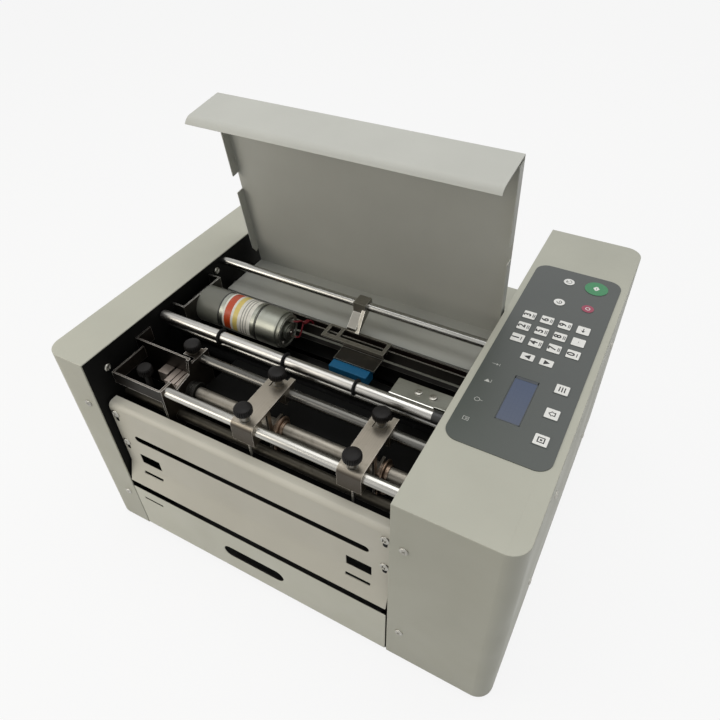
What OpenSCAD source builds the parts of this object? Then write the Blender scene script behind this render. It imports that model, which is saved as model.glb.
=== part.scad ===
// Electric card cutter: a desktop machine that slits and cross-cuts printed sheets into cards.
// Two sheet-metal end boxes carry a black frame plate each; shafts, rods, knife and feed table
// span the bay between them, under a hinged lid that is shown open.
// Heights of the mechanism are measured down from the top of the end boxes, depths back from
// the front face, and widths from the inner faces of the frame plates.

/* [Housing] */
// Overall width across both end boxes
body_w = 506; // [470:1:560]
// Overall depth
body_d = 460; // [440:1:520]
// Height of the end boxes without the feet
body_h = 275; // [262:1:320]
// Width of the left end box
left_w = 52; // [48:1:80]
// Width of the right end box, which holds the drive and the controls
right_w = 115; // [105:1:150]
// Thickness of the housing sheet
sheet = 1.5; // [1:0.1:1.8]
// Radius of the upright corners of the end boxes
corner_r = 18; // [8:1:30]
// Lean of the left end box's outer side towards its top
left_lean = 0; // [0:0.5:3]
// Lean of the right end box's outer side towards its top
right_lean = 5.5; // [0:0.5:7]
// Thickness of the bottom plate
base_t = 2; // [1.5:0.1:3]
// Thickness of the frame plates
plate_t = 3; // [2.5:0.1:4]
// Height of a rubber foot
foot_h = 8; // [5:0.5:15]
// Radius of a rubber foot
foot_r = 12; // [9:0.5:16]
// Distance of the feet from the outer faces
foot_inset = 36; // [30:1:60]

/* [Screws] */
// Radius of a screw head
screw_r = 4.2; // [3:0.1:5]
// Radius of the larger heads on the front panel
panel_screw_r = 5; // [4:0.1:5.5]
// Height of a screw head
screw_h = 2; // [1.5:0.1:3]
// Drop of the upper housing screws below the top
screw_drop = 59; // [45:1:70]
// Height of the lower housing screws
screw_low = 59; // [45:1:80]
// Distance of the housing screws from the inner edge of a box
screw_edge = 14; // [10:0.5:20]

/* [Lid] */
// Thickness of the lid sheet
lid_t = 1.2; // [0.8:0.1:1.5]
// Angle between open and closed
lid_open = 82; // [75:1:85]
// Depth of the closed lid's lip behind the front face
lid_front = 10; // [6:0.5:14]
// Length of the top panel of the lid
lid_panel = 228; // [226:0.5:229]
// Depth of the front lip
lid_lip = 52; // [40:0.5:53]
// Length of the turned-in hem under the lip
lid_hem = 7; // [3:0.5:7]
// Depth of the lid's rear wall
lid_wall = 72; // [60:0.5:74]
// Length of the turned-out hem under the rear wall
wall_hem = 6; // [3:0.5:8]
// Gap between the lid and the right frame plate
lid_gap = 3; // [2:0.5:5]
// Gap between the lid and the left frame plate
lid_left_gap = 7; // [3:0.5:8]
// Depth of the side flanges
flange_d = 11; // [6:0.5:12]
// Depth of the lid pivot behind the front face
pivot_y = 237.6; // [236:0.1:242]
// Drop of the lid pivot below the top
pivot_drop = 51.5; // [48:0.1:54]
// Radius of the lid pivot pin
pivot_r = 3; // [2:0.1:4]
// Radius of the rubbing stop under the open lid
stop_r = 4; // [2:0.5:5]
// Depth of the lid stop behind the front face
stop_y = 276; // [262:1:282]

/* [Front panel] */
// Depth of the panel's upright face behind the front face
panel_face = 10; // [6:0.5:12]
// Drop of the panel's top below the top of the boxes
panel_drop = 60.5; // [60:0.5:70]
// Height at which the panel turns forward
panel_bend = 119; // [105:1:122]
// Height of the panel's lower edge
panel_low = 91.5; // [85:0.5:100]
// Depth of the panel's top strip
panel_shelf = 13; // [8:0.5:13]
// Radius of the bend along the panel's top
panel_r = 6; // [2:0.5:8]
// Gap between the panel and each frame plate
panel_gap = 2.5; // [1.5:0.5:4]
// Height of the long slot
slot_z = 169; // [165:0.5:175]
// Width of the long slot across the sheet
slot_h = 9.5; // [4.5:0.1:10]
// Distance of the long slot's ends from the panel's ends
slot_inset = 23; // [20:0.5:40]
// Width of a tray hook hole
hook_w = 28; // [15:0.5:34]
// Height of a tray hook hole
hook_h = 16; // [8:0.5:18]
// Height of the middle of a tray hook hole
hook_z = 133; // [131:0.5:140]
// Distance of a hook hole from the panel's end
hook_inset = 20.5; // [18:0.5:30]
// Height of the narrow hook slots
latch_z = 111; // [100:0.5:113]
// Width of the narrow hook slots
latch_h = 4; // [1.5:0.1:4.5]
// Width of the screw tabs behind the panel
tab_w = 14.5; // [12:0.5:16]
// Height of the screw tabs behind the panel
tab_h = 66; // [60:1:75]

/* [Waste drawer] */
// Height of the drawer front's top edge
drawer_top = 79.5; // [68:0.5:84]
// Length of the drawer tray
drawer_d = 260; // [150:1:300]
// Height of the drawer tray
drawer_h = 58; // [54:0.5:70]
// Space beside the drawer tray at each side
drawer_side = 10.5; // [6:0.5:20]
// Length of the finger hole
finger_w = 82; // [50:1:110]
// Height of the finger hole
finger_h = 20; // [16:0.5:26]
// Height of the middle of the finger hole
finger_z = 39; // [34:0.5:42]
// Clearance between the drawer and what guides it
drawer_fit = 0.4; // [0.3:0.05:0.8]

/* [Sheet path] */
// Drop of the feed table's rear edge below the top
table_drop = 103; // [95:0.5:115]
// Drop of the cutting line between the slitter shafts
nip_drop = 64; // [63.5:0.1:65]
// Depth of the slitter shafts behind the front face
slit_y = 62; // [61:0.1:63]
// Depth of the feed rollers behind the front face
feed_y = 150; // [148:0.5:152]
// Radius of the driven feed roller
feed_r = 10; // [8:0.5:11]
// Radius of the pinch roller over it
pinch_r = 8; // [6:0.5:8.5]
// Radius of the exit roller
exit_r = 5.5; // [4:0.1:6]
// Depth of the exit roller behind the front face
exit_y = 40; // [39:0.1:40.5]
// Drop of the exit roller below the top
exit_drop = 70; // [68:0.5:72]
// Radius of the ringed transport roller
transport_r = 6; // [5:0.1:7]
// Depth of the transport roller behind the front face
transport_y = 114; // [112:0.5:115]
// Drop of the transport roller below the top
transport_drop = 16; // [15:0.5:17]
// Radius of the rubber ring's cord
ring_r = 1.4; // [1:0.1:1.8]
// Distance of the first rubber ring from the left plate
ring_first = 82; // [40:0.5:90]
// Distance between the rubber rings
ring_pitch = 82; // [60:0.5:95]
// Number of rubber rings
ring_count = 3; // [2:1:3]
// Radius of the thin cross bar under the transport roller
cross_r = 4; // [2.5:0.1:4.5]
// Depth of the thin cross bar behind the front face
cross_y = 121; // [120:0.5:123]
// Drop of the thin cross bar below the top
cross_drop = 35; // [33:0.5:37]

/* [Slitters] */
// Radius of the two slitter rods
rod_r = 5.5; // [4.5:0.1:6]
// Drop of the slitter rods below the top
rod_drop = 30; // [29:0.1:31]
// Depth of the front slitter rod behind the front face
front_rod_y = 32; // [31:0.1:33]
// Depth of the back slitter rod behind the front face
back_rod_y = 87.5; // [86:0.1:89]
// Radius of the slitter shafts
shaft_r = 6.5; // [5:0.1:7]
// Distance between the two slitter shafts
shaft_gap = 22; // [22:0.1:22.6]
// Radius of a cutter disc
disc_r = 12.5; // [11.5:0.1:12.5]
// Thickness of a cutter disc
disc_t = 3; // [2:0.1:3.5]
// Radius of a cutter's hub
hub_r = 8.5; // [7.6:0.1:8.9]
// Width of a slitter bracket
bracket_w = 25; // [22:0.5:30]
// Thickness of a slitter bracket's top
bracket_t = 3; // [2:0.1:3.5]
// Distance of the left slitter bracket from the left plate
left_slitter_x = 172.5; // [150:0.5:180]
// Distance of the right slitter bracket from the right plate
right_slitter_x = 52.5; // [45:0.5:60]
// Width of the end bracket that holds the rods and shafts at the left
end_w = 74.5; // [72:0.5:80]
// Number of teeth of a slitter gear
gear_teeth = 20; // [12:4:24]
// Width of a slitter gear
gear_w = 8; // [5:0.5:12]

/* [Thumb screws] */
// Radius of a thumb screw's head
knob_r = 9; // [7:0.5:11]
// Height of a thumb screw's head
knob_h = 10.5; // [6:0.5:10.5]
// Height of the neck under a thumb screw's head
knob_neck = 8.5; // [3:0.5:8.5]
// Radius of a thumb screw's neck
neck_r = 4; // [3:0.1:5]
// Radius of a thumb screw's shank
shank_r = 2.5; // [1.5:0.1:2.8]

/* [Knife] */
// Depth of the cutting plane behind the front face
knife_y = 184; // [183.6:0.1:184.4]
// Thickness of the moving knife
knife_t = 7; // [5:0.1:7.2]
// Height of the moving knife
knife_h = 20; // [14:0.5:20]
// Rise of the resting knife above the sheet
knife_gap = 7; // [6:0.1:7.2]
// Throw of the crank pin
crank_e = 5; // [4.6:0.1:5.2]
// Radius of the crank pin
crank_pin_r = 4; // [3:0.1:4.2]
// Width of the fixed blade
blade_w = 11.5; // [8:0.5:11.5]
// Height of the fixed blade
blade_h = 13; // [8:0.5:16]
// Depth of the channel beam behind the front face
beam_y = 192.5; // [192:0.1:193]
// Width of the channel beam
beam_w = 10; // [9:0.1:10.4]
// Height of the channel beam
beam_h = 14; // [10:0.5:14.2]
// Drop of the channel beam's top below the top
beam_drop = 33.5; // [33.2:0.1:33.8]

/* [Gear motor] */
// Radius of the gear motor
motor_r = 21.5; // [18:0.1:21.7]
// Length of the gearbox
gearbox_l = 30; // [24:0.5:31]
// Length of the motor can
can_l = 76; // [60:0.5:77]
// Length of the motor's end cap
cap_l = 6; // [4:0.5:7]
// Depth of the motor axis behind the front face
motor_y = 169.5; // [169:0.1:169.6]
// Drop of the motor axis below the top
motor_drop = 32; // [31.6:0.1:32.1]
// Distance of the motor's mounting plate from the left plate
mount_x = 14.5; // [14.2:0.1:16]

/* [Sensor carriage] */
// Radius of the rear rod
rear_rod_r = 5; // [4:0.1:5.4]
// Depth of the rear rod behind the front face
rear_rod_y = 225.5; // [225:0.1:226]
// Drop of the rear rod below the top
rear_rod_drop = 10; // [9.6:0.1:11]
// Distance of the carriage's left end from the left plate
carriage_x = 164.5; // [162:0.5:168]
// Length of the carriage plate
carriage_l = 77; // [74:0.5:80]

/* [Controls] */
// Width of the control overlay
overlay_w = 95; // [93:0.5:96]
// Length of the control overlay
overlay_l = 294.5; // [272:0.5:300]
// Thickness of the control overlay
overlay_t = 0.8; // [0.4:0.1:1.5]
// Corner radius of the control overlay
overlay_r = 14; // [6:0.5:20]
// Distance of the overlay from the front face
overlay_y = 83.5; // [60:0.5:110]
// Distance of the overlay from the inner edge of the right box
overlay_x = 7; // [5:0.5:8]
// Height of the embossed keys
key_h = 0.4; // [0.2:0.05:0.8]
// Pitch of the number keys across the box
key_pitch_x = 18.7; // [16:0.1:19]
// Pitch of the number keys along the box
key_pitch_y = 20.4; // [16:0.1:21]
// Width of the display window
lcd_w = 23; // [16:0.5:26]
// Length of the display window
lcd_l = 61; // [50:0.5:66]

/* [Drive] */
// Width of a drive pulley
pulley_w = 8; // [5:0.5:9]
// Radius of the pulleys on the drive motor and the feed roller
pulley_r = 10; // [8:0.5:11]
// Radius of the pulley on the lower slitter shaft
slit_pulley_r = 12; // [11.5:0.1:12.5]
// Radius of the pulley on the exit roller
exit_pulley_r = 8; // [7:0.1:8.5]
// Thickness of the belt
belt_t = 1.5; // [1:0.1:2]
// Width of the square drive motor
drive_w = 56; // [42:0.5:60]
// Length of the drive motor
drive_l = 52; // [40:0.5:56]
// Depth of the drive motor's axis behind the front face
drive_y = 110; // [100:1:120]
// Height of the drive motor's axis
drive_z = 110; // [90:1:115]

/* [Fits] */
// Radial running clearance of a shaft in its bore
run_fit = 0.05; // [0.02:0.01:0.09]
// Clearance between pieces that pass each other
pass_fit = 0.3; // [0.25:0.05:0.5]

/* [Hidden] */
$fn = 48;

house_grey = [0.66, 0.66, 0.62];
plate_black = [0.06, 0.06, 0.06];
steel = [0.75, 0.75, 0.74];
nickel = [0.62, 0.59, 0.54];
rubber = [0.08, 0.08, 0.08];
dark_steel = [0.22, 0.22, 0.22];

// Inner faces of the frame plates and of the covers
edge_lap = 0.5;
bay_l = left_w - edge_lap;
bay_r = body_w - right_w + edge_lap;
cover_under = body_h - sheet;
base_inset = sheet + edge_lap;
hang = 1;

// Heights of the mechanism
nip_z = body_h - nip_drop;
table_z = body_h - table_drop;
path_slope = (nip_z - table_z) / (body_d - slit_y);
function path_z(y) = nip_z - (y - slit_y) * path_slope;
upper_z = nip_z + shaft_gap / 2;
lower_z = nip_z - shaft_gap / 2;
rod_z = body_h - rod_drop;
rear_rod_z = body_h - rear_rod_drop;
exit_z = body_h - exit_drop;
transport_z = body_h - transport_drop;
cross_z = body_h - cross_drop;
sheet_v = sheet * sqrt(1 + path_slope * path_slope);
table_front = knife_y + knife_t + 2.5;
sheet_room = 0.15;
feed_z = path_z(feed_y) - sheet_room - feed_r;
pinch_z = path_z(feed_y) + sheet_room + pinch_r;
journal_r = 4;
feed_journal_r = 5;
roller_end = 1.5;

// Lid
pivot_z = body_h - pivot_drop;
lid_rear = lid_front + lid_panel;
wall_lean = 90 - lid_open;
open_wall_z = pivot_z + (pivot_y - lid_rear) * sin(lid_open) + pivot_drop * cos(lid_open);
pin_reach = 1.5;
pin_head_r = 5.5;
pin_head_t = 2.5;

// Front panel
panel_top = body_h - panel_drop;
panel_l = bay_l + panel_gap;
panel_r_end = bay_r - panel_gap;
tab_low = slot_z - 29;
tab_t = 2;
panel_screw_x = 6.3;
panel_screw_zs = [slot_z - 14, slot_z + 32];

// Slitters
end_wall = 3;
end_x = bay_l + end_w;
end_front = 24.5;
end_back = 98;
end_rear_y = 70;
bearing_l = 20;
end_top = body_h - 17;
clamp_top = rod_z + rod_r + 0.7;
bracket_top = clamp_top + bracket_t;
clamp_h = 15;
clamp_half = 8;
bracket_front = front_rod_y - clamp_half;
bracket_back = back_rod_y + clamp_half;
bracket_bend = 6;
front_low = bracket_top - 24.5;
prong = 4;
prong_w = 6;
fork_t = 2.5;
fork_gap = 0.5;
cutter_x = bracket_w / 2 + pass_fit;
cutter_w = 2 * disc_t + 3.6;
left_x = bay_l + left_slitter_x;
right_x = bay_r - right_slitter_x;
end_knob_x = end_x - end_wall - 7;
rod_top = rod_z + rod_r + pass_fit;
step_w = 18.5;
bearing_plate_l = 66.5;
bearing_plate_w = 22;
bearing_plate_t = 2.5;
bearing_plate_y = transport_y + 18;
bearing_plate_drop = 27;
bearing_plate_z = body_h - bearing_plate_drop;
plate_screw_l = 40;
plate_screw_r = 24.5;

// Knife and crank
motor_z = body_h - motor_drop;
motor_x = bay_l + mount_x;
mount_t = 2;
gearbox_x = motor_x + mount_t;
can_x = gearbox_x + gearbox_l;
cap_x = can_x + can_l;
terminal_y = motor_y + 6;
terminal_rise = 11;
terminal_half = 2;
terminal_l = 6;
terminal_t = 0.8;
cap_step = 2;
cap_boss_l = 3;
cap_boss_r = 7;
knife_edge = path_z(knife_y) + knife_gap;
knife_top = knife_edge + knife_h;
yoke_x = bay_l + 6.5;
yoke_t = 3;
yoke_room = 1.5;
crank_x = yoke_x + yoke_t + pass_fit + 0.3;
crank_t = 3.6;
crank_r = 10;
crank_shaft_r = 4;
bore_depth = 13;
knife_end = 6;
tongue = 4.5;
tongue_t = 4;
tongue_y = knife_y + (knife_t - tongue_t) / 2;
guide_t = 5;
guide_wall = 4;
beam_top = body_h - beam_drop;
beam_wall = 1.5;

// Sensor carriage
carriage_l_x = bay_l + carriage_x;
carriage_z = beam_top + pass_fit;
carriage_t = 2;
carriage_front = beam_y - 11.5;
carriage_back = beam_y + beam_w + 0.5;
clamp_x = carriage_l_x + 22;
clamp_w = 15;
sensor_x = carriage_l_x + 28;
sensor_w = 45;
sensor_y = 149;
sensor_d = 17;
sensor_h = 15;
sensor_drop = 39;

// Drive
pulley_x = bay_r + plate_t + 3.5;
drive_plate_t = 3;
drive_x = pulley_x + pulley_w + 2;
drive_shaft_r = 4;
gear_x = pulley_x + pulley_w + 2;
shaft_end = 2;
shaft_l = end_x - end_wall - bearing_l - shaft_end;

// Controls
overlay_x0 = body_w - right_w + overlay_x;
lcd_x = overlay_x0 + overlay_w / 2 - 1.5;
lcd_y = overlay_y + 70;
number_x = lcd_x - 1.5 * key_pitch_x + 1;
number_y = lcd_y + 83.5;
key_size = [14, 13];
arrow_size = [13, 10];
arrow_shift = 1;
arrow_gap = 23.5;
menu_size = 14;
menu_x = lcd_x + 32.5;
menu_y = lcd_y - 36.8;
menu_pitch = 33.8;
large_x = number_x + 2.75 * key_pitch_x;
small_x = number_x + 1.15 * key_pitch_x;
start_key = [large_x, number_y + 119, 25];
stop_key = [large_x, number_y + 79, 13];
rear_small_key = [small_x, number_y + 118.5, 12];
front_small_key = [small_x, number_y + 77, 12];
inlet_x = body_w - right_w + 54.5;
inlet_w = 50;
inlet_low = 28;
inlet_high = 76;
socket_z = 60;
socket_w = 27;
socket_h = 20;
rocker_z = 38;
rocker_r = 6.4;
rocker_w = 20;
rocker_y = body_d + screw_h - rocker_r - 0.1;
rocker_tilt = 8;
rocker_pin_r = 1.5;
rocker_stub = 1.5;

// Placing and shaping helpers
module from_corner() {
    translate([-body_w / 2, -body_d / 2, foot_h]) children();
}

module block(low, high) {
    translate(low) cube(high - low);
}

module bar_x(x0, x1, y, z, r) {
    translate([x0, y, z]) rotate([0, 90, 0]) cylinder(h = x1 - x0, r = r);
}

module bar_y(y0, y1, x, z, r) {
    translate([x, y0, z]) rotate([-90, 0, 0]) cylinder(h = y1 - y0, r = r);
}

module bar_z(z0, z1, x, y, r) {
    translate([x, y, z0]) cylinder(h = z1 - z0, r = r);
}

// Extrudes a depth-height outline along the width
module along_x(x0, x1) {
    translate([x0, 0, 0]) rotate([90, 0, 90]) linear_extrude(x1 - x0) children();
}

// Rectangle with round corners, from its low corner
module round_rect(w, d, r) {
    translate([r, 0]) square([w - 2 * r, d]);
    translate([0, r]) square([w, d - 2 * r]);
    for (x = [r, w - r], y = [r, d - r]) translate([x, y]) circle(r);
}

// Slot with round ends, centred
module stadium(w, h) {
    square([w - h, h], center = true);
    for (side = [-1, 1]) translate([side * (w - h) / 2, 0]) circle(d = h);
}

// Step sideways from a corner of a sheet's middle line to its face, for a unit half-thickness
function unit(v) = v / norm(v);
function left_of(v) = [-v[1], v[0]];
function corner_step(path, i) =
    let (last = len(path) - 1,
         before = unit(path[max(i, 1)] - path[max(i, 1) - 1]),
         after = unit(path[min(i, last - 1) + 1] - path[min(i, last - 1)]),
         side = left_of(unit(before + after)))
    side / (side * left_of(before));

// Outline of a bent sheet along its middle line
module bent_sheet(path, t) {
    last = len(path) - 1;
    polygon(concat(
        [for (i = [0 : last]) path[i] + corner_step(path, i) * t / 2],
        [for (i = [last : -1 : 0]) path[i] - corner_step(path, i) * t / 2]
    ));
}

// Closed tube of six sides swept along a list of points
module swept_tube(points, r) {
    sides = 6;
    last = len(points) - 1;
    function ahead(i) = let (d = points[min(i + 1, last)] - points[max(i - 1, 0)]) d / norm(d);
    function across(i) = let (c = cross(ahead(i), [0.13, 0.31, 1])) c / norm(c);
    function over(i) = cross(across(i), ahead(i));
    rim = [for (i = [0 : last], k = [0 : sides - 1])
        points[i] + r * (cos(360 * k / sides) * across(i) + sin(360 * k / sides) * over(i))];
    walls = [for (i = [0 : last - 1], k = [0 : sides - 1], half = [0, 1])
        let (a = i * sides + k, b = i * sides + (k + 1) % sides)
        half == 0 ? [a, b, b + sides] : [a, b + sides, a + sides]];
    caps = [for (k = [1 : sides - 2], end = [0, 1])
        end == 0 ? [0, k + 1, k] : [last * sides, last * sides + k, last * sides + k + 1]];
    polyhedron(points = rim, faces = [for (f = concat(walls, caps)) [f[2], f[1], f[0]]]);
}

// Housing
module base_plate() {
    rail_w = 2;
    rail_h = 10;
    color(dark_steel) from_corner() {
        linear_extrude(base_t) translate([base_inset, base_inset])
            round_rect(body_w - 2 * base_inset, body_d - 2 * base_inset, corner_r - base_inset);
        for (x = [bay_l + drawer_side - drawer_fit - rail_w, bay_r - drawer_side + drawer_fit])
            block([x, 3 * rail_h, base_t], [x + rail_w, drawer_d - rail_h, base_t + rail_h]);
    }
}

module feet() {
    color(rubber) from_corner()
        for (x = [foot_inset, body_w - foot_inset], y = [foot_inset, body_d - foot_inset])
            bar_z(-foot_h, 0, x, y, foot_r);
}

// Plan of an end box whose rounded side is at the left
module cover_plan(w, inset) {
    r = corner_r - inset;
    translate([inset + r, inset]) square([w - inset - r, body_d - 2 * inset]);
    translate([inset, inset + r]) square([w - inset, body_d - 2 * inset - 2 * r]);
    for (y = [inset + r, body_d - inset - r]) translate([inset + r, y]) circle(r);
}

// Body of an end box between two heights, whose outer side leans in towards its top
module cover_body(w, inset, low, high, lean) {
    intersection() {
        multmatrix([[1, 0, lean / body_h, 0], [0, 1, 0, 0], [0, 0, 1, 0]])
            translate([0, 0, low]) linear_extrude(high - low) cover_plan(w + lean, inset);
        block([-hang, -hang, low - hang], [w, body_d + hang, high + hang]);
    }
}

module cover_shell(w, lean) {
    difference() {
        cover_body(w, 0, 0, body_h, lean);
        cover_body(w + hang, sheet, -hang, cover_under, lean);
    }
}

module left_cover() {
    color(house_grey) from_corner() cover_shell(left_w, left_lean);
}

module right_cover() {
    color(house_grey) from_corner() difference() {
        translate([body_w, 0, 0]) mirror([1, 0, 0]) cover_shell(right_w, right_lean);
        block([lcd_x - lcd_w / 2, lcd_y - lcd_l / 2, cover_under - hang],
              [lcd_x + lcd_w / 2, lcd_y + lcd_l / 2, body_h + hang]);
        block([inlet_x - socket_w / 2, body_d - 2 * sheet, rocker_z - rocker_r - hang],
              [inlet_x + socket_w / 2, body_d + hang, socket_z + socket_h / 2]);
    }
}

// Screw tab that the front panel is fixed to; side is 1 at the left plate and -1 at the right
module panel_tab(face, side) {
    back = panel_face + sheet;
    low_x = side > 0 ? face : face - tab_w;
    block([low_x, back, tab_low], [low_x + tab_w, back + tab_t, tab_low + tab_h]);
}

module lid_stop(face, side) {
    reach = (side > 0 ? lid_left_gap : lid_gap) + 5;
    z = open_wall_z - pass_fit - stop_r;
    low_x = side > 0 ? face : face - reach;
    bar_x(low_x, low_x + reach, stop_y, z, stop_r);
}

module roller_bores(x) {
    reach = plate_t + 2 * hang;
    bar_x(x - hang, x + reach, feed_y, feed_z, feed_journal_r + run_fit);
    bar_x(x - hang, x + reach, feed_y, pinch_z, journal_r + run_fit);
    bar_x(x - hang, x + reach, exit_y, exit_z, exit_r + run_fit);
    bar_x(x - hang, x + reach, transport_y, transport_z, journal_r + run_fit);
}

module side_plate(x) {
    block([x, base_inset, base_t], [x + plate_t, body_d - base_inset, cover_under]);
}

module left_side_plate() {
    color(plate_black) from_corner() {
        difference() {
            side_plate(bay_l - plate_t);
            roller_bores(bay_l - plate_t);
        }
        panel_tab(bay_l, 1);
        lid_stop(bay_l, 1);
    }
}

module right_side_plate() {
    step_h = 10;
    step_l = 26;
    color(plate_black) from_corner() {
        difference() {
            side_plate(bay_r);
            roller_bores(bay_r);
            for (z = [upper_z, lower_z])
                bar_x(bay_r - hang, bay_r + plate_t + hang, slit_y, z, shaft_r + run_fit);
        }
        panel_tab(bay_r, -1);
        lid_stop(bay_r, -1);
        block([bay_r - step_w, bearing_plate_y - 2, bearing_plate_z - step_h],
              [bay_r, bearing_plate_y - 2 + step_l, bearing_plate_z]);
    }
}

module front_panel() {
    half = sheet / 2;
    bend = [for (a = [180 : -10 : 90])
        [panel_face + panel_r, panel_top - panel_r] + (panel_r - half) * [cos(a), sin(a)]];
    path = concat([[half, panel_low], [panel_face + half, panel_bend]], bend,
                  [[panel_face + panel_shelf, panel_top - half]]);
    reach = panel_face + 4 * sheet;
    slot_w = panel_r_end - panel_l - 2 * slot_inset;
    middle = (panel_l + panel_r_end) / 2;
    hook_x = (panel_r_end - panel_l - hook_w) / 2 - hook_inset;
    color(house_grey) from_corner() difference() {
        along_x(panel_l, panel_r_end) bent_sheet(path, sheet);
        translate([middle, reach, slot_z]) rotate([90, 0, 0]) linear_extrude(reach) stadium(slot_w, slot_h);
        for (side = [-1, 1]) translate([middle + side * hook_x - hook_w / 2, 0, 0]) {
            block([0, 0, hook_z - hook_h / 2], [hook_w, reach, hook_z + hook_h / 2]);
            block([0, 0, latch_z - latch_h / 2], [hook_w, reach, latch_z + latch_h / 2]);
        }
    }
}

module rear_panel() {
    color(house_grey) from_corner()
        block([left_w, body_d - sheet, 0], [body_w - right_w, body_d, table_z - sheet_v]);
}

module feed_table() {
    front_z = path_z(table_front);
    color(house_grey) from_corner() along_x(bay_l, bay_r) polygon([
        [body_d, table_z], [table_front, front_z],
        [table_front, front_z - sheet_v], [body_d, table_z - sheet_v]
    ]);
}

// Domed screw head that stands on a face; the axis points away from the face
module screw_head(r = screw_r) {
    rim = screw_h * 0.6;
    rotate_extrude() polygon([[0, 0], [r, 0], [r, rim], [r * 0.6, screw_h], [0, screw_h]]);
}

module screws() {
    cover_xs = [left_w - screw_edge, body_w - right_w + screw_edge];
    cover_zs = [screw_low, body_h - screw_drop];
    side_ys = [body_d * 0.25, body_d * 0.75];
    color(steel) from_corner() {
        for (x = cover_xs, z = cover_zs) {
            translate([x, 0, z]) rotate([90, 0, 0]) screw_head();
            translate([x, body_d, z]) rotate([-90, 0, 0]) screw_head();
        }
        for (y = side_ys, z = cover_zs) {
            translate([left_lean * z / body_h, y, z])
                rotate([0, atan(left_lean / body_h) - 90, 0]) screw_head();
            translate([body_w - right_lean * z / body_h, y, z])
                rotate([0, 90 - atan(right_lean / body_h), 0]) screw_head();
        }
        for (x = [panel_l + panel_screw_x, panel_r_end - panel_screw_x], z = panel_screw_zs)
            translate([x, panel_face, z]) rotate([90, 0, 0]) screw_head(panel_screw_r);
        for (x = [bay_r - plate_screw_l, bay_r - plate_screw_r])
            translate([x, bearing_plate_y + bearing_plate_w / 2, bearing_plate_z + bearing_plate_t])
                screw_head();
        translate([bay_l, front_rod_y - 5, end_top - 7]) rotate([0, 90, 0]) screw_head();
    }
}

// Lid, drawn closed and swung open about its pivot
module lid_side(x) {
    rise = body_h - lid_t / 2;
    under = rise - flange_d;
    first_end = transport_y - transport_r - 4;
    second_start = transport_y + transport_r + 6;
    second_end = rear_rod_y - rear_rod_r - 8;
    rod_pass = norm([pivot_y - rear_rod_y, rear_rod_z - pivot_z]) + rear_rod_r + 2 * pass_fit;
    function wall_at(z) = lid_rear - lid_t / 2 - (rise - z) * tan(wall_lean);
    difference() {
        along_x(x, x + lid_t) {
            translate([second_start, under]) square([second_end - second_start, flange_d]);
            translate([second_end, rise - flange_d / 2]) circle(d = flange_d);
        }
        bar_x(x - hang, x + lid_t + hang, pivot_y, pivot_z, rod_pass);
    }
    difference() {
        along_x(x, x + lid_t) {
            translate([lid_front + 6, under]) square([first_end - lid_front - 6, flange_d]);
            translate([pivot_y, pivot_z]) circle(pivot_r + 4);
            polygon([
                [wall_at(pivot_z + 9), pivot_z + 9], [pivot_y, pivot_z + pivot_r + 4],
                [pivot_y, pivot_z - pivot_r - 4], [wall_at(pivot_z - 9), pivot_z - 9]
            ]);
        }
        bar_x(x - hang, x + lid_t + hang, pivot_y, pivot_z, pivot_r + run_fit);
    }
}

module closed_lid() {
    half = lid_t / 2;
    lip_low = body_h - lid_lip;
    wall_low = [lid_rear - half, body_h - half] - lid_wall * [sin(wall_lean), cos(wall_lean)];
    hem_turn = 45;
    hem_steps = 6;
    bend_r = 0.7 * lid_hem / tan(hem_turn / 2);
    bend_middle = [lid_front + half + bend_r, lip_low + 0.7 * lid_hem];
    path = concat(
        [[lid_front + half, lip_low] + lid_hem * [cos(hem_turn), -sin(hem_turn)]],
        [for (i = [hem_steps : -1 : 0])
            bend_middle - bend_r * [cos(hem_turn * i / hem_steps), sin(hem_turn * i / hem_steps)]],
        [[lid_front + half, body_h - half], [lid_rear - half, body_h - half], wall_low,
         wall_low + wall_hem * [cos(wall_lean), -sin(wall_lean)]]
    );
    along_x(bay_l + lid_left_gap, bay_r - lid_gap) bent_sheet(path, lid_t);
    lid_side(bay_l + lid_left_gap);
    lid_side(bay_r - lid_gap - lid_t);
}

module lid() {
    color(house_grey) from_corner()
        translate([0, pivot_y, pivot_z]) rotate([-lid_open, 0, 0]) translate([0, -pivot_y, -pivot_z])
            closed_lid();
}

module lid_pins() {
    low_end = bay_l + lid_left_gap + lid_t + pass_fit;
    high_end = bay_r - lid_gap - lid_t - pass_fit;
    color(steel) from_corner() {
        bar_x(bay_l, low_end, pivot_y, pivot_z, pivot_r);
        bar_x(low_end, low_end + pin_head_t, pivot_y, pivot_z, pin_head_r);
        bar_x(high_end, bay_r, pivot_y, pivot_z, pivot_r);
        bar_x(high_end - pin_head_t, high_end, pivot_y, pivot_z, pin_head_r);
    }
}

module waste_drawer() {
    wall = 1.2;
    low = base_t + drawer_fit;
    tray_l = bay_l + drawer_side;
    tray_r = bay_r - drawer_side;
    middle = (bay_l + bay_r) / 2;
    latch_x = tray_l + 4;
    color(house_grey) from_corner() difference() {
        union() {
            block([bay_l + 2, 0, low], [bay_r - 2, sheet, drawer_top]);
            block([tray_l, sheet, low], [tray_r, drawer_d, low + drawer_h]);
        }
        block([tray_l + wall, sheet + wall, low + wall], [tray_r - wall, drawer_d - wall, body_h]);
        translate([middle, 2 * sheet + wall, finger_z]) rotate([90, 0, 0])
            linear_extrude(4 * sheet + wall) stadium(finger_w, finger_h);
        block([latch_x, -hang, low + drawer_h + hang],
              [latch_x + hook_w, sheet + hang, low + drawer_h + hang + latch_h]);
    }
}

// Rods and shafts
module rear_rod() {
    color(steel) from_corner() bar_x(bay_l, bay_r, rear_rod_y, rear_rod_z, rear_rod_r);
}

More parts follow.
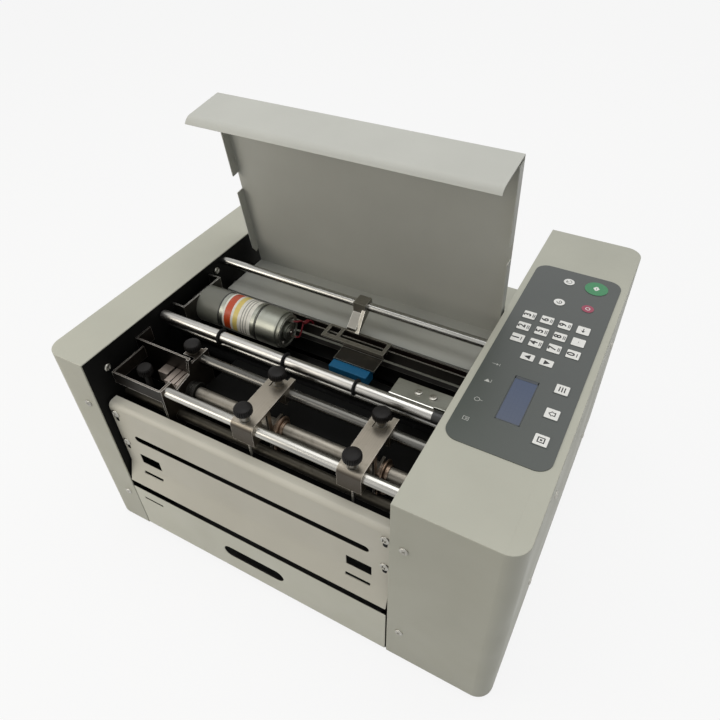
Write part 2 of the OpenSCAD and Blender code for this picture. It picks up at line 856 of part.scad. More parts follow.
module slitter_rods() {
    color(steel) from_corner()
        for (y = [front_rod_y, back_rod_y]) bar_x(end_x, bay_r, y, rod_z, rod_r);
}

module cross_bar() {
    color(dark_steel) from_corner() bar_x(bay_l, bay_r, cross_y, cross_z, cross_r);
}

// Black sheet that carries the paper from the feed rollers to the slitters
module guide_plate() {
    guide_front = 15;
    guide_back = 13;
    front = slit_y + guide_front;
    back = feed_y - guide_back;
    color(plate_black) from_corner() along_x(end_x, bay_r) polygon([
        [front, path_z(front) - sheet_room], [back, path_z(back) - sheet_room],
        [back, path_z(back) - sheet_room - sheet_v], [front, path_z(front) - sheet_room - sheet_v]
    ]);
}

// Slitter gear about the width axis; teeth are slim, for easy meshing
module gear(x0, z, turn) {
    pitch_r = shaft_gap / 2;
    module_size = 2 * pitch_r / gear_teeth;
    root_r = pitch_r - 1.3 * module_size;
    tip_r = pitch_r + 0.9 * module_size;
    root_half = 0.9 * module_size;
    tip_half = 0.25 * module_size;
    translate([x0, slit_y, z]) rotate([turn, 0, 0]) along_x(0, gear_w) {
        circle(root_r);
        for (i = [0 : gear_teeth - 1]) rotate(i * 360 / gear_teeth) polygon([
            [root_r - root_half, -root_half], [tip_r, -tip_half],
            [tip_r, tip_half], [root_r - root_half, root_half]
        ]);
    }
}

module upper_slitter_shaft() {
    color(steel) from_corner() {
        bar_x(shaft_l, gear_x + gear_w + shaft_end, slit_y, upper_z, shaft_r);
        gear(gear_x, upper_z, 0);
    }
}

module lower_slitter_shaft() {
    color(steel) from_corner() {
        bar_x(shaft_l, gear_x + gear_w + shaft_end, slit_y, lower_z, shaft_r);
        gear(gear_x, lower_z, 180 / gear_teeth);
        bar_x(pulley_x, pulley_x + pulley_w, slit_y, lower_z, slit_pulley_r);
    }
}

module end_bracket() {
    face = end_x - end_wall;
    thin = 2;
    low = lower_z - 14;
    low_z = rod_z - 10;
    wall_top = end_top - 8;
    dip = upper_z + 15;
    side_x = bay_l + 8;
    ear = 22;
    ear_h = 18;
    color(nickel) from_corner() difference() {
        union() {
            block([bay_l, end_rear_y, lower_z], [face, end_rear_y + thin, end_top]);
            block([bay_l, end_rear_y, end_top - ear_h], [bay_l + thin, end_rear_y + ear, end_top]);
            block([side_x, end_front, low_z], [face, end_front + thin, wall_top]);
            block([side_x, end_front, low_z], [side_x + thin, end_rear_y, wall_top]);
            along_x(face, end_x) polygon([
                [end_front, low], [end_front, clamp_top], [front_rod_y + clamp_half, clamp_top],
                [slit_y - 18, dip], [end_rear_y - 5, dip + 4], [end_rear_y - 2, end_top],
                [end_rear_y + thin, end_top], [end_rear_y + thin, clamp_top],
                [end_back, clamp_top], [end_back, low]
            ]);
            block([end_knob_x - clamp_half, back_rod_y - clamp_half, clamp_top - clamp_h],
                  [face, back_rod_y + clamp_half, clamp_top]);
        }
        for (z = [upper_z, lower_z]) bar_x(face - hang, end_x + hang, slit_y, z, shaft_r + fork_gap);
        bar_x(face - hang, end_x + hang, exit_y, exit_z, exit_r + fork_gap);
        bar_z(clamp_top - clamp_h / 2, clamp_top + hang, end_knob_x, back_rod_y, shank_r + run_fit);
    }
}

// Block that carries the shafts' left ends, grooved across its top, with a stop block beside it
module bearing_block() {
    face = end_x - end_wall;
    low_x = face - bearing_l;
    half = 12;
    top = upper_z + 14;
    groove_w = 1.4;
    groove_depth = 3;
    stop_l = 12;
    stop_w = 12.5;
    stop_x = low_x - shaft_end - 1 - stop_l;
    color([0.70, 0.52, 0.44]) from_corner() {
        difference() {
            block([low_x, slit_y - half, lower_z - half], [face, end_rear_y, top]);
            for (z = [upper_z, lower_z]) bar_x(low_x - hang, face + hang, slit_y, z, shaft_r + run_fit);
            for (x = [low_x + bearing_l / 3, low_x + 2 * bearing_l / 3])
                block([x, slit_y - half - hang, top - groove_depth],
                      [x + groove_w, end_rear_y + hang, top + hang]);
        }
        block([stop_x, end_rear_y - stop_w, upper_z], [stop_x + stop_l, end_rear_y, top]);
    }
}

module bearing_plate() {
    lip_t = 2;
    lip_h = 12;
    front = bearing_plate_y;
    low = bearing_plate_z;
    top = low + bearing_plate_t;
    color(steel) from_corner() {
        block([bay_r - bearing_plate_l, front, low], [bay_r, front + bearing_plate_w, top]);
        block([bay_r - bearing_plate_l, front - lip_t, top - lip_h],
              [bay_r - step_w - pass_fit, front, top]);
    }
}

// Slitters
module slitter_bracket(x) {
    low_x = x - bracket_w / 2;
    high_x = x + bracket_w / 2;
    finger = 10;
    strip = [slit_y - 13, slit_y - 8];
    color(nickel) from_corner() difference() {
        union() {
            along_x(low_x, high_x) {
                translate([bracket_front, front_low])
                    square([2 * clamp_half, bracket_top - bracket_bend - front_low]);
                translate([bracket_front + bracket_bend, bracket_top - bracket_bend]) circle(bracket_bend);
                translate([bracket_front + bracket_bend, clamp_top])
                    square([bracket_back - bracket_front - bracket_bend, bracket_t]);
                translate([bracket_front + bracket_bend, bracket_top - bracket_bend])
                    square([2 * clamp_half - bracket_bend, bracket_bend]);
                translate([back_rod_y - clamp_half, clamp_top - clamp_h]) square([2 * clamp_half, clamp_h]);
            }
            for (px = [low_x, high_x - prong_w])
                block([px, bracket_back, clamp_top], [px + prong_w, bracket_back + prong, bracket_top]);
            block([high_x - fork_t, strip[0], lower_z - finger], [high_x, strip[1], clamp_top]);
            for (z = [upper_z, lower_z])
                block([high_x - fork_t, strip[1], z - finger + fork_t],
                      [high_x, slit_y + finger, z + finger - fork_t]);
        }
        for (y = [front_rod_y, back_rod_y]) {
            bar_x(low_x - hang, high_x + hang, y, rod_z, rod_r + run_fit);
            bar_z(rod_z, bracket_top + hang, x, y, shank_r + run_fit);
        }
        block([low_x + prong_w, back_rod_y - clamp_half, clamp_top + bracket_t / 2],
              [high_x - prong_w, bracket_back + prong + hang, bracket_top + hang]);
        for (z = [upper_z, lower_z])
            bar_x(high_x - fork_t - hang, high_x + hang, slit_y, z, shaft_r + fork_gap);
    }
}

module left_slitter_bracket() {
    slitter_bracket(left_x);
}

module right_slitter_bracket() {
    slitter_bracket(right_x);
}

// Cutter on a slitter shaft; its disc starts at the given distance from its left face
module cutter(x, z, disc_at) {
    start = x + cutter_x;
    color([0.72, 0.45, 0.30]) from_corner() difference() {
        union() {
            bar_x(start, start + cutter_w, slit_y, z, hub_r);
            bar_x(start + disc_at, start + disc_at + disc_t, slit_y, z, disc_r);
        }
        bar_x(start - hang, start + cutter_w + hang, slit_y, z, shaft_r + run_fit);
    }
}

module left_upper_cutter() {
    cutter(left_x, upper_z, disc_t + pass_fit);
}

module left_lower_cutter() {
    cutter(left_x, lower_z, 0);
}

module right_upper_cutter() {
    cutter(right_x, upper_z, disc_t + pass_fit);
}

module right_lower_cutter() {
    cutter(right_x, lower_z, 0);
}

// Thumb screw that stands on a seat, with its shank reaching down to the given height
module knob(x, y, seat, tip, neck = knob_neck) {
    edge = 1.5;
    color([0.19, 0.18, 0.18]) from_corner() translate([x, y, 0]) {
        translate([0, 0, seat + run_fit]) rotate_extrude() polygon([
            [0, 0], [neck_r, 0], [neck_r, neck], [knob_r - edge, neck],
            [knob_r, neck + edge], [knob_r, neck + knob_h - 2 * edge],
            [knob_r - 2 * edge, neck + knob_h], [0, neck + knob_h]
        ]);
        translate([0, 0, tip]) cylinder(h = seat + run_fit - tip, r = shank_r);
    }
}

module left_front_knob() {
    knob(left_x, front_rod_y, bracket_top, rod_top);
}

module left_back_knob() {
    knob(left_x, back_rod_y, clamp_top + bracket_t / 2, rod_top);
}

module right_front_knob() {
    knob(right_x, front_rod_y, bracket_top, rod_top);
}

module right_back_knob() {
    knob(right_x, back_rod_y, clamp_top + bracket_t / 2, rod_top);
}

module end_knob() {
    knob(end_knob_x, back_rod_y, clamp_top, clamp_top - clamp_h / 2 + pass_fit, knob_neck / 3);
}

// Rollers that run in the frame plates
module roller(y, z, body_r, end_r, right_end) {
    bar_x(bay_l - plate_t, right_end, y, z, end_r);
    bar_x(bay_l + roller_end, bay_r - roller_end, y, z, body_r);
}

module feed_roller() {
    color(rubber) from_corner() {
        roller(feed_y, feed_z, feed_r, feed_journal_r, pulley_x + pulley_w);
        bar_x(pulley_x, pulley_x + pulley_w, feed_y, feed_z, pulley_r);
    }
}

module pinch_roller() {
    color(steel) from_corner() roller(feed_y, pinch_z, pinch_r, journal_r, bay_r + plate_t);
}

module exit_roller() {
    color(dark_steel) from_corner() {
        roller(exit_y, exit_z, exit_r, exit_r, pulley_x + pulley_w);
        bar_x(pulley_x, pulley_x + pulley_w, exit_y, exit_z, exit_pulley_r);
    }
}

module transport_roller() {
    color(steel) from_corner() roller(transport_y, transport_z, transport_r, journal_r, bay_r + plate_t);
}

module rubber_rings() {
    color(rubber) from_corner() for (i = [0 : ring_count - 1])
        translate([bay_l + ring_first + i * ring_pitch, transport_y, transport_z]) rotate([0, 90, 0])
            rotate_extrude() translate([transport_r + ring_r, 0]) circle(ring_r);
}

// Knife drive
module motor_bracket() {
    front_room = 16.5;
    top_room = 12.5;
    knife_room = 3;
    flange_w = 6;
    front = motor_y - motor_r - front_room;
    back = beam_y - beam_wall;
    flange_back = back + flange_w;
    low = knife_top + knife_room;
    top = body_h - top_room;
    color(nickel) from_corner() difference() {
        union() {
            block([motor_x, front, low], [motor_x + mount_t, back, top]);
            block([motor_x, back, beam_top + 2], [motor_x + mount_t, flange_back, top]);
            block([bay_l, front, low], [motor_x, front + mount_t, top]);
            block([bay_l, flange_back - mount_t, beam_top + 2], [motor_x, flange_back, top]);
        }
        bar_x(motor_x - hang, motor_x + mount_t + hang, motor_y, motor_z, crank_shaft_r + 4);
    }
}

module gearbox() {
    color([0.42, 0.43, 0.38]) from_corner() difference() {
        bar_x(gearbox_x, can_x, motor_y, motor_z, motor_r);
        bar_x(gearbox_x - hang, gearbox_x + bore_depth, motor_y, motor_z, crank_shaft_r + run_fit);
    }
}

module motor_can() {
    groove = 1;
    grooves = [0, can_l * 0.66];
    color([0.55, 0.56, 0.53]) from_corner() difference() {
        bar_x(can_x, cap_x, motor_y, motor_z, motor_r);
        for (at = grooves) difference() {
            bar_x(can_x + at - hang, can_x + at + 2, motor_y, motor_z, motor_r + groove);
            bar_x(can_x + at - 2 * hang, can_x + at + 3, motor_y, motor_z, motor_r - groove);
        }
    }
}

module motor_cap() {
    end = cap_x + cap_l;
    color(dark_steel) from_corner() {
        bar_x(cap_x, end, motor_y, motor_z, motor_r - cap_step);
        bar_x(end, end + cap_boss_l, motor_y, motor_z, cap_boss_r);
        for (z = [motor_z - terminal_rise, motor_z + terminal_rise])
            block([end, terminal_y - terminal_half, z - terminal_t / 2],
                  [end + terminal_l, terminal_y + terminal_half, z + terminal_t / 2]);
    }
}

// Leads that run from the motor's terminals into the channel beam and along it to the right box
module motor_leads() {
    lead_r = 1;
    start_x = cap_x + cap_l + terminal_l;
    lane = beam_y + beam_w / 2;
    spread = beam_w / 2 - beam_wall - lead_r - pass_fit;
    floor_z = beam_top - beam_h + beam_wall + lead_r + pass_fit;
    color([0.60, 0.10, 0.10]) from_corner() for (side = [-1, 1]) {
        z = motor_z + side * terminal_rise;
        y = lane + side * spread;
        swept_tube([
            [start_x, terminal_y, z],
            [start_x + 2.5, terminal_y + 2, z],
            [start_x + 4, terminal_y + 7, (z + beam_top) / 2 + 4],
            [start_x + 4.5 + side, beam_y - 5, beam_top + 3.5],
            [start_x + 5 + side, beam_y + beam_wall + lead_r, beam_top + 3],
            [start_x + 6 + side, y, beam_top - 2],
            [start_x + 8 + side, y, floor_z + 3],
            [start_x + 14, y, floor_z],
            [bay_r, y, floor_z]
        ], lead_r);
    }
}

module crank() {
    color(steel) from_corner() {
        bar_x(crank_x, crank_x + crank_t, motor_y, motor_z, crank_r);
        bar_x(crank_x + crank_t, gearbox_x + bore_depth - pass_fit, motor_y, motor_z, crank_shaft_r);
        bar_x(yoke_x - 1, crank_x, motor_y, motor_z + crank_e, crank_pin_r);
    }
}

module knife_yoke() {
    half = crank_e + crank_pin_r + yoke_room;
    rise = crank_pin_r + yoke_room;
    wall = 3;
    back = knife_y + knife_t;
    color(dark_steel) from_corner() difference() {
        along_x(yoke_x, yoke_x + yoke_t) polygon([
            [motor_y - half - wall, motor_z + crank_e - rise - wall], [knife_y, knife_top],
            [back, knife_top], [back, knife_top + 3 * wall],
            [motor_y + half + wall, motor_z - wall],
            [motor_y + half + wall, motor_z + crank_e + rise + wall],
            [motor_y - half - wall, motor_z + crank_e + rise + wall]
        ]);
        block([yoke_x - hang, motor_y - half, motor_z + crank_e - rise],
              [yoke_x + yoke_t + hang, motor_y + half, motor_z + crank_e + rise]);
    }
}

module knife_blade() {
    color(steel) from_corner() {
        block([bay_l + knife_end, knife_y, knife_edge], [bay_r - knife_end, knife_y + knife_t, knife_top]);
        for (x = [bay_l + knife_end - tongue, bay_r - knife_end])
            block([x, tongue_y, knife_edge], [x + tongue, tongue_y + tongue_t, knife_top]);
    }
}

module knife_guides() {
    low = path_z(knife_y) + 1.5;
    top = beam_top - beam_h - 1;
    front = tongue_y - pass_fit - guide_wall;
    back = tongue_y + tongue_t + pass_fit + guide_wall;
    groove = [tongue_y - pass_fit, tongue_y + tongue_t + pass_fit];
    floor_t = knife_end - tongue - pass_fit;
    color(dark_steel) from_corner() {
        difference() {
            block([bay_l, front, low], [bay_l + guide_t, back, top]);
            block([bay_l + floor_t, groove[0], low - hang], [bay_l + guide_t + hang, groove[1], top + hang]);
        }
        difference() {
            block([bay_r - guide_t, front, low], [bay_r, back, top]);
            block([bay_r - guide_t - hang, groove[0], low - hang], [bay_r - floor_t, groove[1], top + hang]);
        }
    }
}

module fixed_blade() {
    back = knife_y - pass_fit;
    top = path_z(back) - sheet_room;
    color(steel) from_corner()
        block([bay_l, back - blade_w, top - blade_h], [bay_r, back, top]);
}

module channel_beam() {
    low = beam_top - beam_h;
    color(dark_steel) from_corner() difference() {
        block([bay_l, beam_y, low], [bay_r, beam_y + beam_w, beam_top]);
        block([bay_l - hang, beam_y + beam_wall, low + beam_wall],
              [bay_r + hang, beam_y + beam_w - beam_wall, beam_top + hang]);
    }
}

// Sensor carriage on the rear rod and the channel beam
module sensor_carriage() {
    rim = 4;
    front_rim = 5.5;
    back_rim = 3;
    tab_drop = 4;
    tab_t = 1.2;
    strip_w = clamp_w - rim;
    top = carriage_z + carriage_t;
    high_x = carriage_l_x + carriage_l;
    tab_front = beam_y - pass_fit - tab_t;
    block_front = rear_rod_y - rear_rod_r - 4.5;
    block_back = rear_rod_y + rear_rod_r + 2.2;
    block_low = rear_rod_z - rear_rod_r - 3;
    foot_z = body_h - sensor_drop;
    foot_front = sensor_y + 0.65 * sensor_d;
    strip = [
        [carriage_back - 1, carriage_z], [carriage_back - 1, top + 4],
        [block_front + 1, block_low + 3], [block_front + 1, rear_rod_z]
    ];
    color(nickel) from_corner() difference() {
        union() {
            block([carriage_l_x, carriage_front, carriage_z], [high_x, carriage_back, top]);
            for (x = [carriage_l_x, high_x - rim])
                block([x, tab_front, beam_top - tab_drop], [x + rim, tab_front + tab_t, carriage_z]);
            block([sensor_x, carriage_front, foot_z], [high_x, carriage_front + 2, carriage_z]);
            block([sensor_x, foot_front, foot_z], [high_x, carriage_front + 2, foot_z + 2]);
            block([clamp_x, block_front, block_low],
                  [clamp_x + clamp_w, block_back, rear_rod_z + rear_rod_r + 2]);
            along_x(clamp_x, clamp_x + strip_w) bent_sheet(strip, 2);
            along_x(clamp_x + strip_w, clamp_x + clamp_w) polygon([
                [carriage_back - back_rim, top], [carriage_back, top],
                [block_back - rear_rod_r, block_low + 1], [block_front, rear_rod_z]
            ]);
        }
        bar_x(clamp_x - hang, clamp_x + clamp_w + hang, rear_rod_y, rear_rod_z, rear_rod_r + run_fit);
        for (span = [[rim, 4 * rim], [5 * rim, carriage_l - rim]])
            block([carriage_l_x + span[0], carriage_front + front_rim, carriage_z - hang],
                  [carriage_l_x + span[1], carriage_back - back_rim, top + hang]);
    }
}

module sensor_body() {
    top = body_h - sensor_drop;
    color([0.08, 0.37, 0.55]) from_corner()
        block([sensor_x, sensor_y, top - sensor_h], [sensor_x + sensor_w, sensor_y + sensor_d, top]);
}

// Controls
// Places of the embossed keys: centre, width, length
function number_keys() = [for (i = [0 : 3], j = [0 : 2])
    [number_x + i * key_pitch_x, number_y + j * key_pitch_y, key_size[0], key_size[1]]];
function arrow_keys() = [for (i = [0, 1])
    [number_x + (i + 1) * key_pitch_x - arrow_shift, number_y - arrow_gap, arrow_size[0], arrow_size[1]]];
function menu_keys() = [for (i = [0 : 2]) [menu_x, menu_y + i * menu_pitch, menu_size, menu_size]];

module control_overlay() {
    top = body_h + overlay_t;
    color([0.30, 0.31, 0.30]) from_corner() {
        difference() {
            translate([overlay_x0, overlay_y, body_h]) linear_extrude(overlay_t)
                round_rect(overlay_w, overlay_l, overlay_r);
            block([lcd_x - lcd_w / 2, lcd_y - lcd_l / 2, body_h - hang],
                  [lcd_x + lcd_w / 2, lcd_y + lcd_l / 2, top + hang]);
        }
        for (k = concat(number_keys(), arrow_keys(), menu_keys()))
            translate([k[0] - k[2] / 2, k[1] - k[3] / 2, top]) cube([k[2], k[3], key_h]);
        for (k = [start_key, stop_key, rear_small_key, front_small_key])
            translate([k[0], k[1], top]) cylinder(h = key_h, d = k[2]);
    }
}

module lcd_display() {
    rim = 4;
    window_gap = 0.2;
    color([0.35, 0.40, 0.52]) from_corner() {
        block([lcd_x - lcd_w / 2 - rim, lcd_y - lcd_l / 2 - rim, cover_under - 7],
              [lcd_x + lcd_w / 2 + rim, lcd_y + lcd_l / 2 + rim, cover_under]);
        block([lcd_x - lcd_w / 2 + window_gap, lcd_y - lcd_l / 2 + window_gap, cover_under],
              [lcd_x + lcd_w / 2 - window_gap, lcd_y + lcd_l / 2 - window_gap, body_h + overlay_t - 0.2]);
    }
}

module control_board() {
    margin = 5;
    drop = 14;
    board_t = 1.6;
    post_r = 3;
    low_x = overlay_x0 + margin;
    high_x = overlay_x0 + overlay_w - 2 * margin;
    low_y = overlay_y + 2 * margin;
    high_y = overlay_y + overlay_l - 2 * margin;
    board_top = cover_under - drop;
    color([0.10, 0.30, 0.16]) from_corner() {
        block([low_x, low_y, board_top - board_t], [high_x, high_y, board_top]);
        for (x = [low_x + margin, high_x - margin], y = [low_y + margin, high_y - margin])
            bar_z(board_top, cover_under, x, y, post_r);
    }
}

module power_supply() {
    supply_w = 80;
    supply_l = 160;
    supply_h = 40;
    side_gap = 15;
    front_gap = 64;
    low = [bay_r + plate_t + side_gap, drive_y + drive_w + front_gap, base_t];
    color([0.62, 0.63, 0.64]) from_corner() block(low, low + [supply_w, supply_l, supply_h]);
}

// Mains inlet with the power switch in one panel module
module power_inlet() {
    wall = 2.5;
    depth = 18;
    face = body_d + screw_h;
    pocket = rocker_r + pass_fit;
    pocket_w = rocker_w + 2 * pass_fit;
    color(rubber) from_corner() difference() {
        union() {
            block([inlet_x - inlet_w / 2, body_d, inlet_low], [inlet_x + inlet_w / 2, face, inlet_high]);
            block([inlet_x - socket_w / 2 + wall / 5, body_d - depth, rocker_z - rocker_r - wall / 5],
                  [inlet_x + socket_w / 2 - wall / 5, body_d, socket_z + socket_h / 2 - wall / 5]);
        }
        block([inlet_x - socket_w / 2 + wall, body_d - depth + wall, socket_z - socket_h / 2 + wall],
              [inlet_x + socket_w / 2 - wall, face + hang, socket_z + socket_h / 2 - wall]);
        bar_x(inlet_x - pocket_w / 2, inlet_x + pocket_w / 2, rocker_y, rocker_z, pocket);
        bar_x(inlet_x - pocket_w / 2 - rocker_stub, inlet_x + pocket_w / 2 + rocker_stub, rocker_y, rocker_z,
              rocker_pin_r + run_fit);
        block([inlet_x - pocket_w / 2, rocker_y, rocker_z - pocket],
              [inlet_x + pocket_w / 2, face + hang, rocker_z + pocket]);
    }
}

module rocker_switch() {
    reach = rocker_w / 2 + rocker_stub;
    color(plate_black) from_corner() {
        translate([0, rocker_y, rocker_z]) rotate([-rocker_tilt, 0, 0])
            along_x(inlet_x - rocker_w / 2, inlet_x + rocker_w / 2) intersection() {
                circle(rocker_r);
                polygon([
                    [-rocker_r, -rocker_r], [rocker_r, -rocker_r], [rocker_r, -rocker_r * 0.6],
                    [rocker_r * 0.7, 0], [rocker_r, rocker_r * 0.6], [rocker_r, rocker_r],
                    [-rocker_r, rocker_r]
                ]);
            }
        bar_x(inlet_x - reach, inlet_x + reach, rocker_y, rocker_z, rocker_pin_r);
    }
}

// Drive of the rollers and slitter shafts
module drive_motor() {
    half = drive_w / 2;
    face = drive_x + drive_plate_t;
    color(dark_steel) from_corner() difference() {
        union() {
            block([face, drive_y - half, drive_z - half], [face + drive_l, drive_y + half, drive_z + half]);
            block([drive_x, drive_y - half - 6, base_t], [face, drive_y + half + 6, drive_z + half + 6]);
            block([face, drive_y - half - 6, base_t],
                  [face + drive_l / 2, drive_y + half + 6, base_t + drive_plate_t]);
        }
        bar_x(drive_x - hang, face + bore_depth, drive_y, drive_z, drive_shaft_r + run_fit);
    }
}

module drive_pulley() {
    color(steel) from_corner() {
        bar_x(pulley_x, pulley_x + pulley_w, drive_y, drive_z, pulley_r);
        bar_x(pulley_x + pulley_w, drive_x + drive_plate_t + bore_depth - pass_fit, drive_y, drive_z,
              drive_shaft_r);
    }
}

// Pulleys inside the belt: depth, height, radius
function pulleys() = [
    [feed_y, feed_z, pulley_r], [slit_y, lower_z, slit_pulley_r],
    [exit_y, exit_z, exit_pulley_r], [drive_y, drive_z, pulley_r]
];

module belt_outline(extra) {
    hull() for (p = pulleys()) translate([p[0], p[1]]) circle(p[2] + extra, $fn = 32);
}

module timing_belt() {
    margin = 1;
    color(rubber) from_corner() along_x(pulley_x + margin, pulley_x + pulley_w - margin) difference() {
        belt_outline(pass_fit + belt_t);
        belt_outline(pass_fit);
    }
}

base_plate();
left_cover();
right_cover();
left_side_plate();
right_side_plate();
front_panel();
rear_panel();
feed_table();
feet();
screws();
control_overlay();
lcd_display();
control_board();
power_supply();
power_inlet();
rocker_switch();
lid();
lid_pins();
waste_drawer();
rear_rod();
slitter_rods();
cross_bar();
guide_plate();
end_bracket();
bearing_block();
bearing_plate();
upper_slitter_shaft();
lower_slitter_shaft();
left_slitter_bracket();
right_slitter_bracket();
left_upper_cutter();
left_lower_cutter();
right_upper_cutter();
right_lower_cutter();
left_front_knob();
left_back_knob();
right_front_knob();
right_back_knob();
end_knob();
feed_roller();
pinch_roller();
exit_roller();
transport_roller();
rubber_rings();
motor_bracket();
gearbox();
motor_can();
motor_cap();
motor_leads();
crank();
knife_yoke();
knife_blade();
knife_guides();
fixed_blade();
channel_beam();
sensor_carriage();
sensor_body();
drive_motor();
drive_pulley();
timing_belt();
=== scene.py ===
import math

import bmesh
import bpy
from mathutils import Matrix, Vector


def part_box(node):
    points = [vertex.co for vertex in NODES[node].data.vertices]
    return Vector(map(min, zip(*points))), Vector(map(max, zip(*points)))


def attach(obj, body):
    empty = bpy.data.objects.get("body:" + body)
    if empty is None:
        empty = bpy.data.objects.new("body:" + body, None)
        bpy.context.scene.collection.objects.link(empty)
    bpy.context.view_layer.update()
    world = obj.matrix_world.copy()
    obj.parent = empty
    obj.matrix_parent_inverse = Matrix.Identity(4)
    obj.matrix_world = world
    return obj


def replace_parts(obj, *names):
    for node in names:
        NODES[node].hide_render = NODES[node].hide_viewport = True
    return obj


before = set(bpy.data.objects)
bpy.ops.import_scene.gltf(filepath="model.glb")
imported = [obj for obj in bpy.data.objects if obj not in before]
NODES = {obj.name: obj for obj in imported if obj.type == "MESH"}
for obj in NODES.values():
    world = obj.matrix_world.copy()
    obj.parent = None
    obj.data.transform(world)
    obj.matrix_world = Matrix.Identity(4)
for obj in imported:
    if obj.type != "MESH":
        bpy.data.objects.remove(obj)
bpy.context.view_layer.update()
scene = bpy.context.scene

MM = 0.001
CORNER = -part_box("left_cover")[0] / MM


def at(x, y, z):
    """Row-frame point in metres of a point in millimetres from the front left bottom corner."""
    return (Vector((x, y, z)) - CORNER) * MM


def mm_box(node):
    """A node's box in millimetres from the front left bottom corner."""
    low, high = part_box(node)
    return low / MM + CORNER, high / MM + CORNER


def axis_through(node, axis):
    """Point on the axis through the middle of a node's box, where the height along that axis is 0."""
    low, high = mm_box(node)
    point = (low + high) / 2
    point["xyz".index(axis)] = 0.0
    return point


def linear(r, g, b):
    """Linear colour of an sRGB colour given from 0 to 255."""
    out = []
    for c in (r, g, b):
        c /= 255.0
        out.append(c / 12.92 if c <= 0.04045 else ((c + 0.055) / 1.055) ** 2.4)
    return tuple(out)


def scaled(colour, k):
    """A colour made lighter or darker."""
    return tuple(min(1.0, c * k) for c in colour)


# Materials

class Graph:
    """A material's node tree with short calls for the nodes used here."""

    def __init__(self, name):
        self.material = bpy.data.materials.new(name)
        self.material.use_nodes = True
        self.tree = self.material.node_tree
        self.tree.nodes.clear()
        self.out = self.add("ShaderNodeOutputMaterial")
        self.shader = self.add("ShaderNodeBsdfPrincipled")
        self.link(self.shader.outputs["BSDF"], self.out.inputs["Surface"])
        self.place = self.add("ShaderNodeTexCoord").outputs["Object"]

    def add(self, kind, **values):
        node = self.tree.nodes.new(kind)
        for key, value in values.items():
            setattr(node, key, value)
        return node

    def link(self, a, b):
        self.tree.links.new(a, b)

    def stretched(self, stretch):
        node = self.add("ShaderNodeMapping")
        node.inputs["Scale"].default_value = stretch
        self.link(self.place, node.inputs["Vector"])
        return node.outputs["Vector"]

    def noise(self, scale, detail, vector=None):
        node = self.add("ShaderNodeTexNoise")
        node.inputs["Scale"].default_value = scale
        node.inputs["Detail"].default_value = detail
        node.inputs["Roughness"].default_value = 0.55
        self.link(vector or self.place, node.inputs["Vector"])
        return node.outputs["Fac"]

    def spread(self, value, low, high, from_low=0.3, from_high=0.7):
        node = self.add("ShaderNodeMapRange")
        node.inputs["From Min"].default_value = from_low
        node.inputs["From Max"].default_value = from_high
        node.inputs["To Min"].default_value = low
        node.inputs["To Max"].default_value = high
        self.link(value, node.inputs["Value"])
        return node.outputs["Result"]

    def math(self, kind, a, b):
        node = self.add("ShaderNodeMath", operation=kind)
        for socket, value in zip(node.inputs, (a, b)):
            if isinstance(value, (int, float)):
                socket.default_value = value
            else:
                self.link(value, socket)
        return node.outputs["Value"]

    def mix(self, factor, a, b):
        node = self.add("ShaderNodeMix", data_type="RGBA")
        for socket, value in ((node.inputs[0], factor), (node.inputs[6], a), (node.inputs[7], b)):
            if isinstance(value, tuple):
                socket.default_value = (*value, 1.0)
            elif isinstance(value, (int, float)):
                socket.default_value = value
            else:
                self.link(value, socket)
        return node.outputs[2]

    def edges(self, radius):
        """Mask that is 1 along sharp edges and 0 on flat faces."""
        bevel = self.add("ShaderNodeBevel", samples=4)
        bevel.inputs["Radius"].default_value = radius
        facing = self.add("ShaderNodeVectorMath", operation="DOT_PRODUCT")
        self.link(bevel.outputs["Normal"], facing.inputs[0])
        self.link(self.add("ShaderNodeNewGeometry").outputs["Normal"], facing.inputs[1])
        return self.spread(self.math("SUBTRACT", 1.0, facing.outputs["Value"]), 0.0, 1.0, 0.02, 0.3)

    def split(self, vector):
        node = self.add("ShaderNodeSeparateXYZ")
        self.link(vector, node.inputs["Vector"])
        return node.outputs

    def facing(self, axis):
        """How far a face is turned along an axis, from -1 to 1."""
        return self.split(self.add("ShaderNodeNewGeometry").outputs["True Normal"])[axis]

    def behind(self, depth, top):
        """Mask of faces behind a depth along Y and below a height; just behind it, front faces stay out."""
        place = self.split(self.place)
        deep = self.spread(place["Y"], 0.0, 1.0, depth, depth + 0.0003)
        low = self.spread(place["Z"], 1.0, 0.0, top, top + 0.002)
        turned = self.spread(self.facing("Y"), 0.0, 1.0, -0.5, -0.3)
        inner = self.spread(place["Y"], 0.0, 1.0, depth + 0.015, depth + 0.016)
        taken = self.math("MAXIMUM", turned, inner)
        return self.math("MULTIPLY", self.math("MULTIPLY", deep, low), taken)

    def bump(self, height, strength, distance):
        node = self.add("ShaderNodeBump")
        node.inputs["Strength"].default_value = strength
        node.inputs["Distance"].default_value = distance
        self.link(height, node.inputs["Height"])
        self.link(node.outputs["Normal"], self.shader.inputs["Normal"])

    def set(self, **values):
        for key, value in values.items():
            socket = self.shader.inputs[key.replace("_", " ").title()]
            if isinstance(value, tuple):
                socket.default_value = (*value, 1.0)
            elif isinstance(value, (int, float)):
                socket.default_value = value
            else:
                self.link(value, socket)


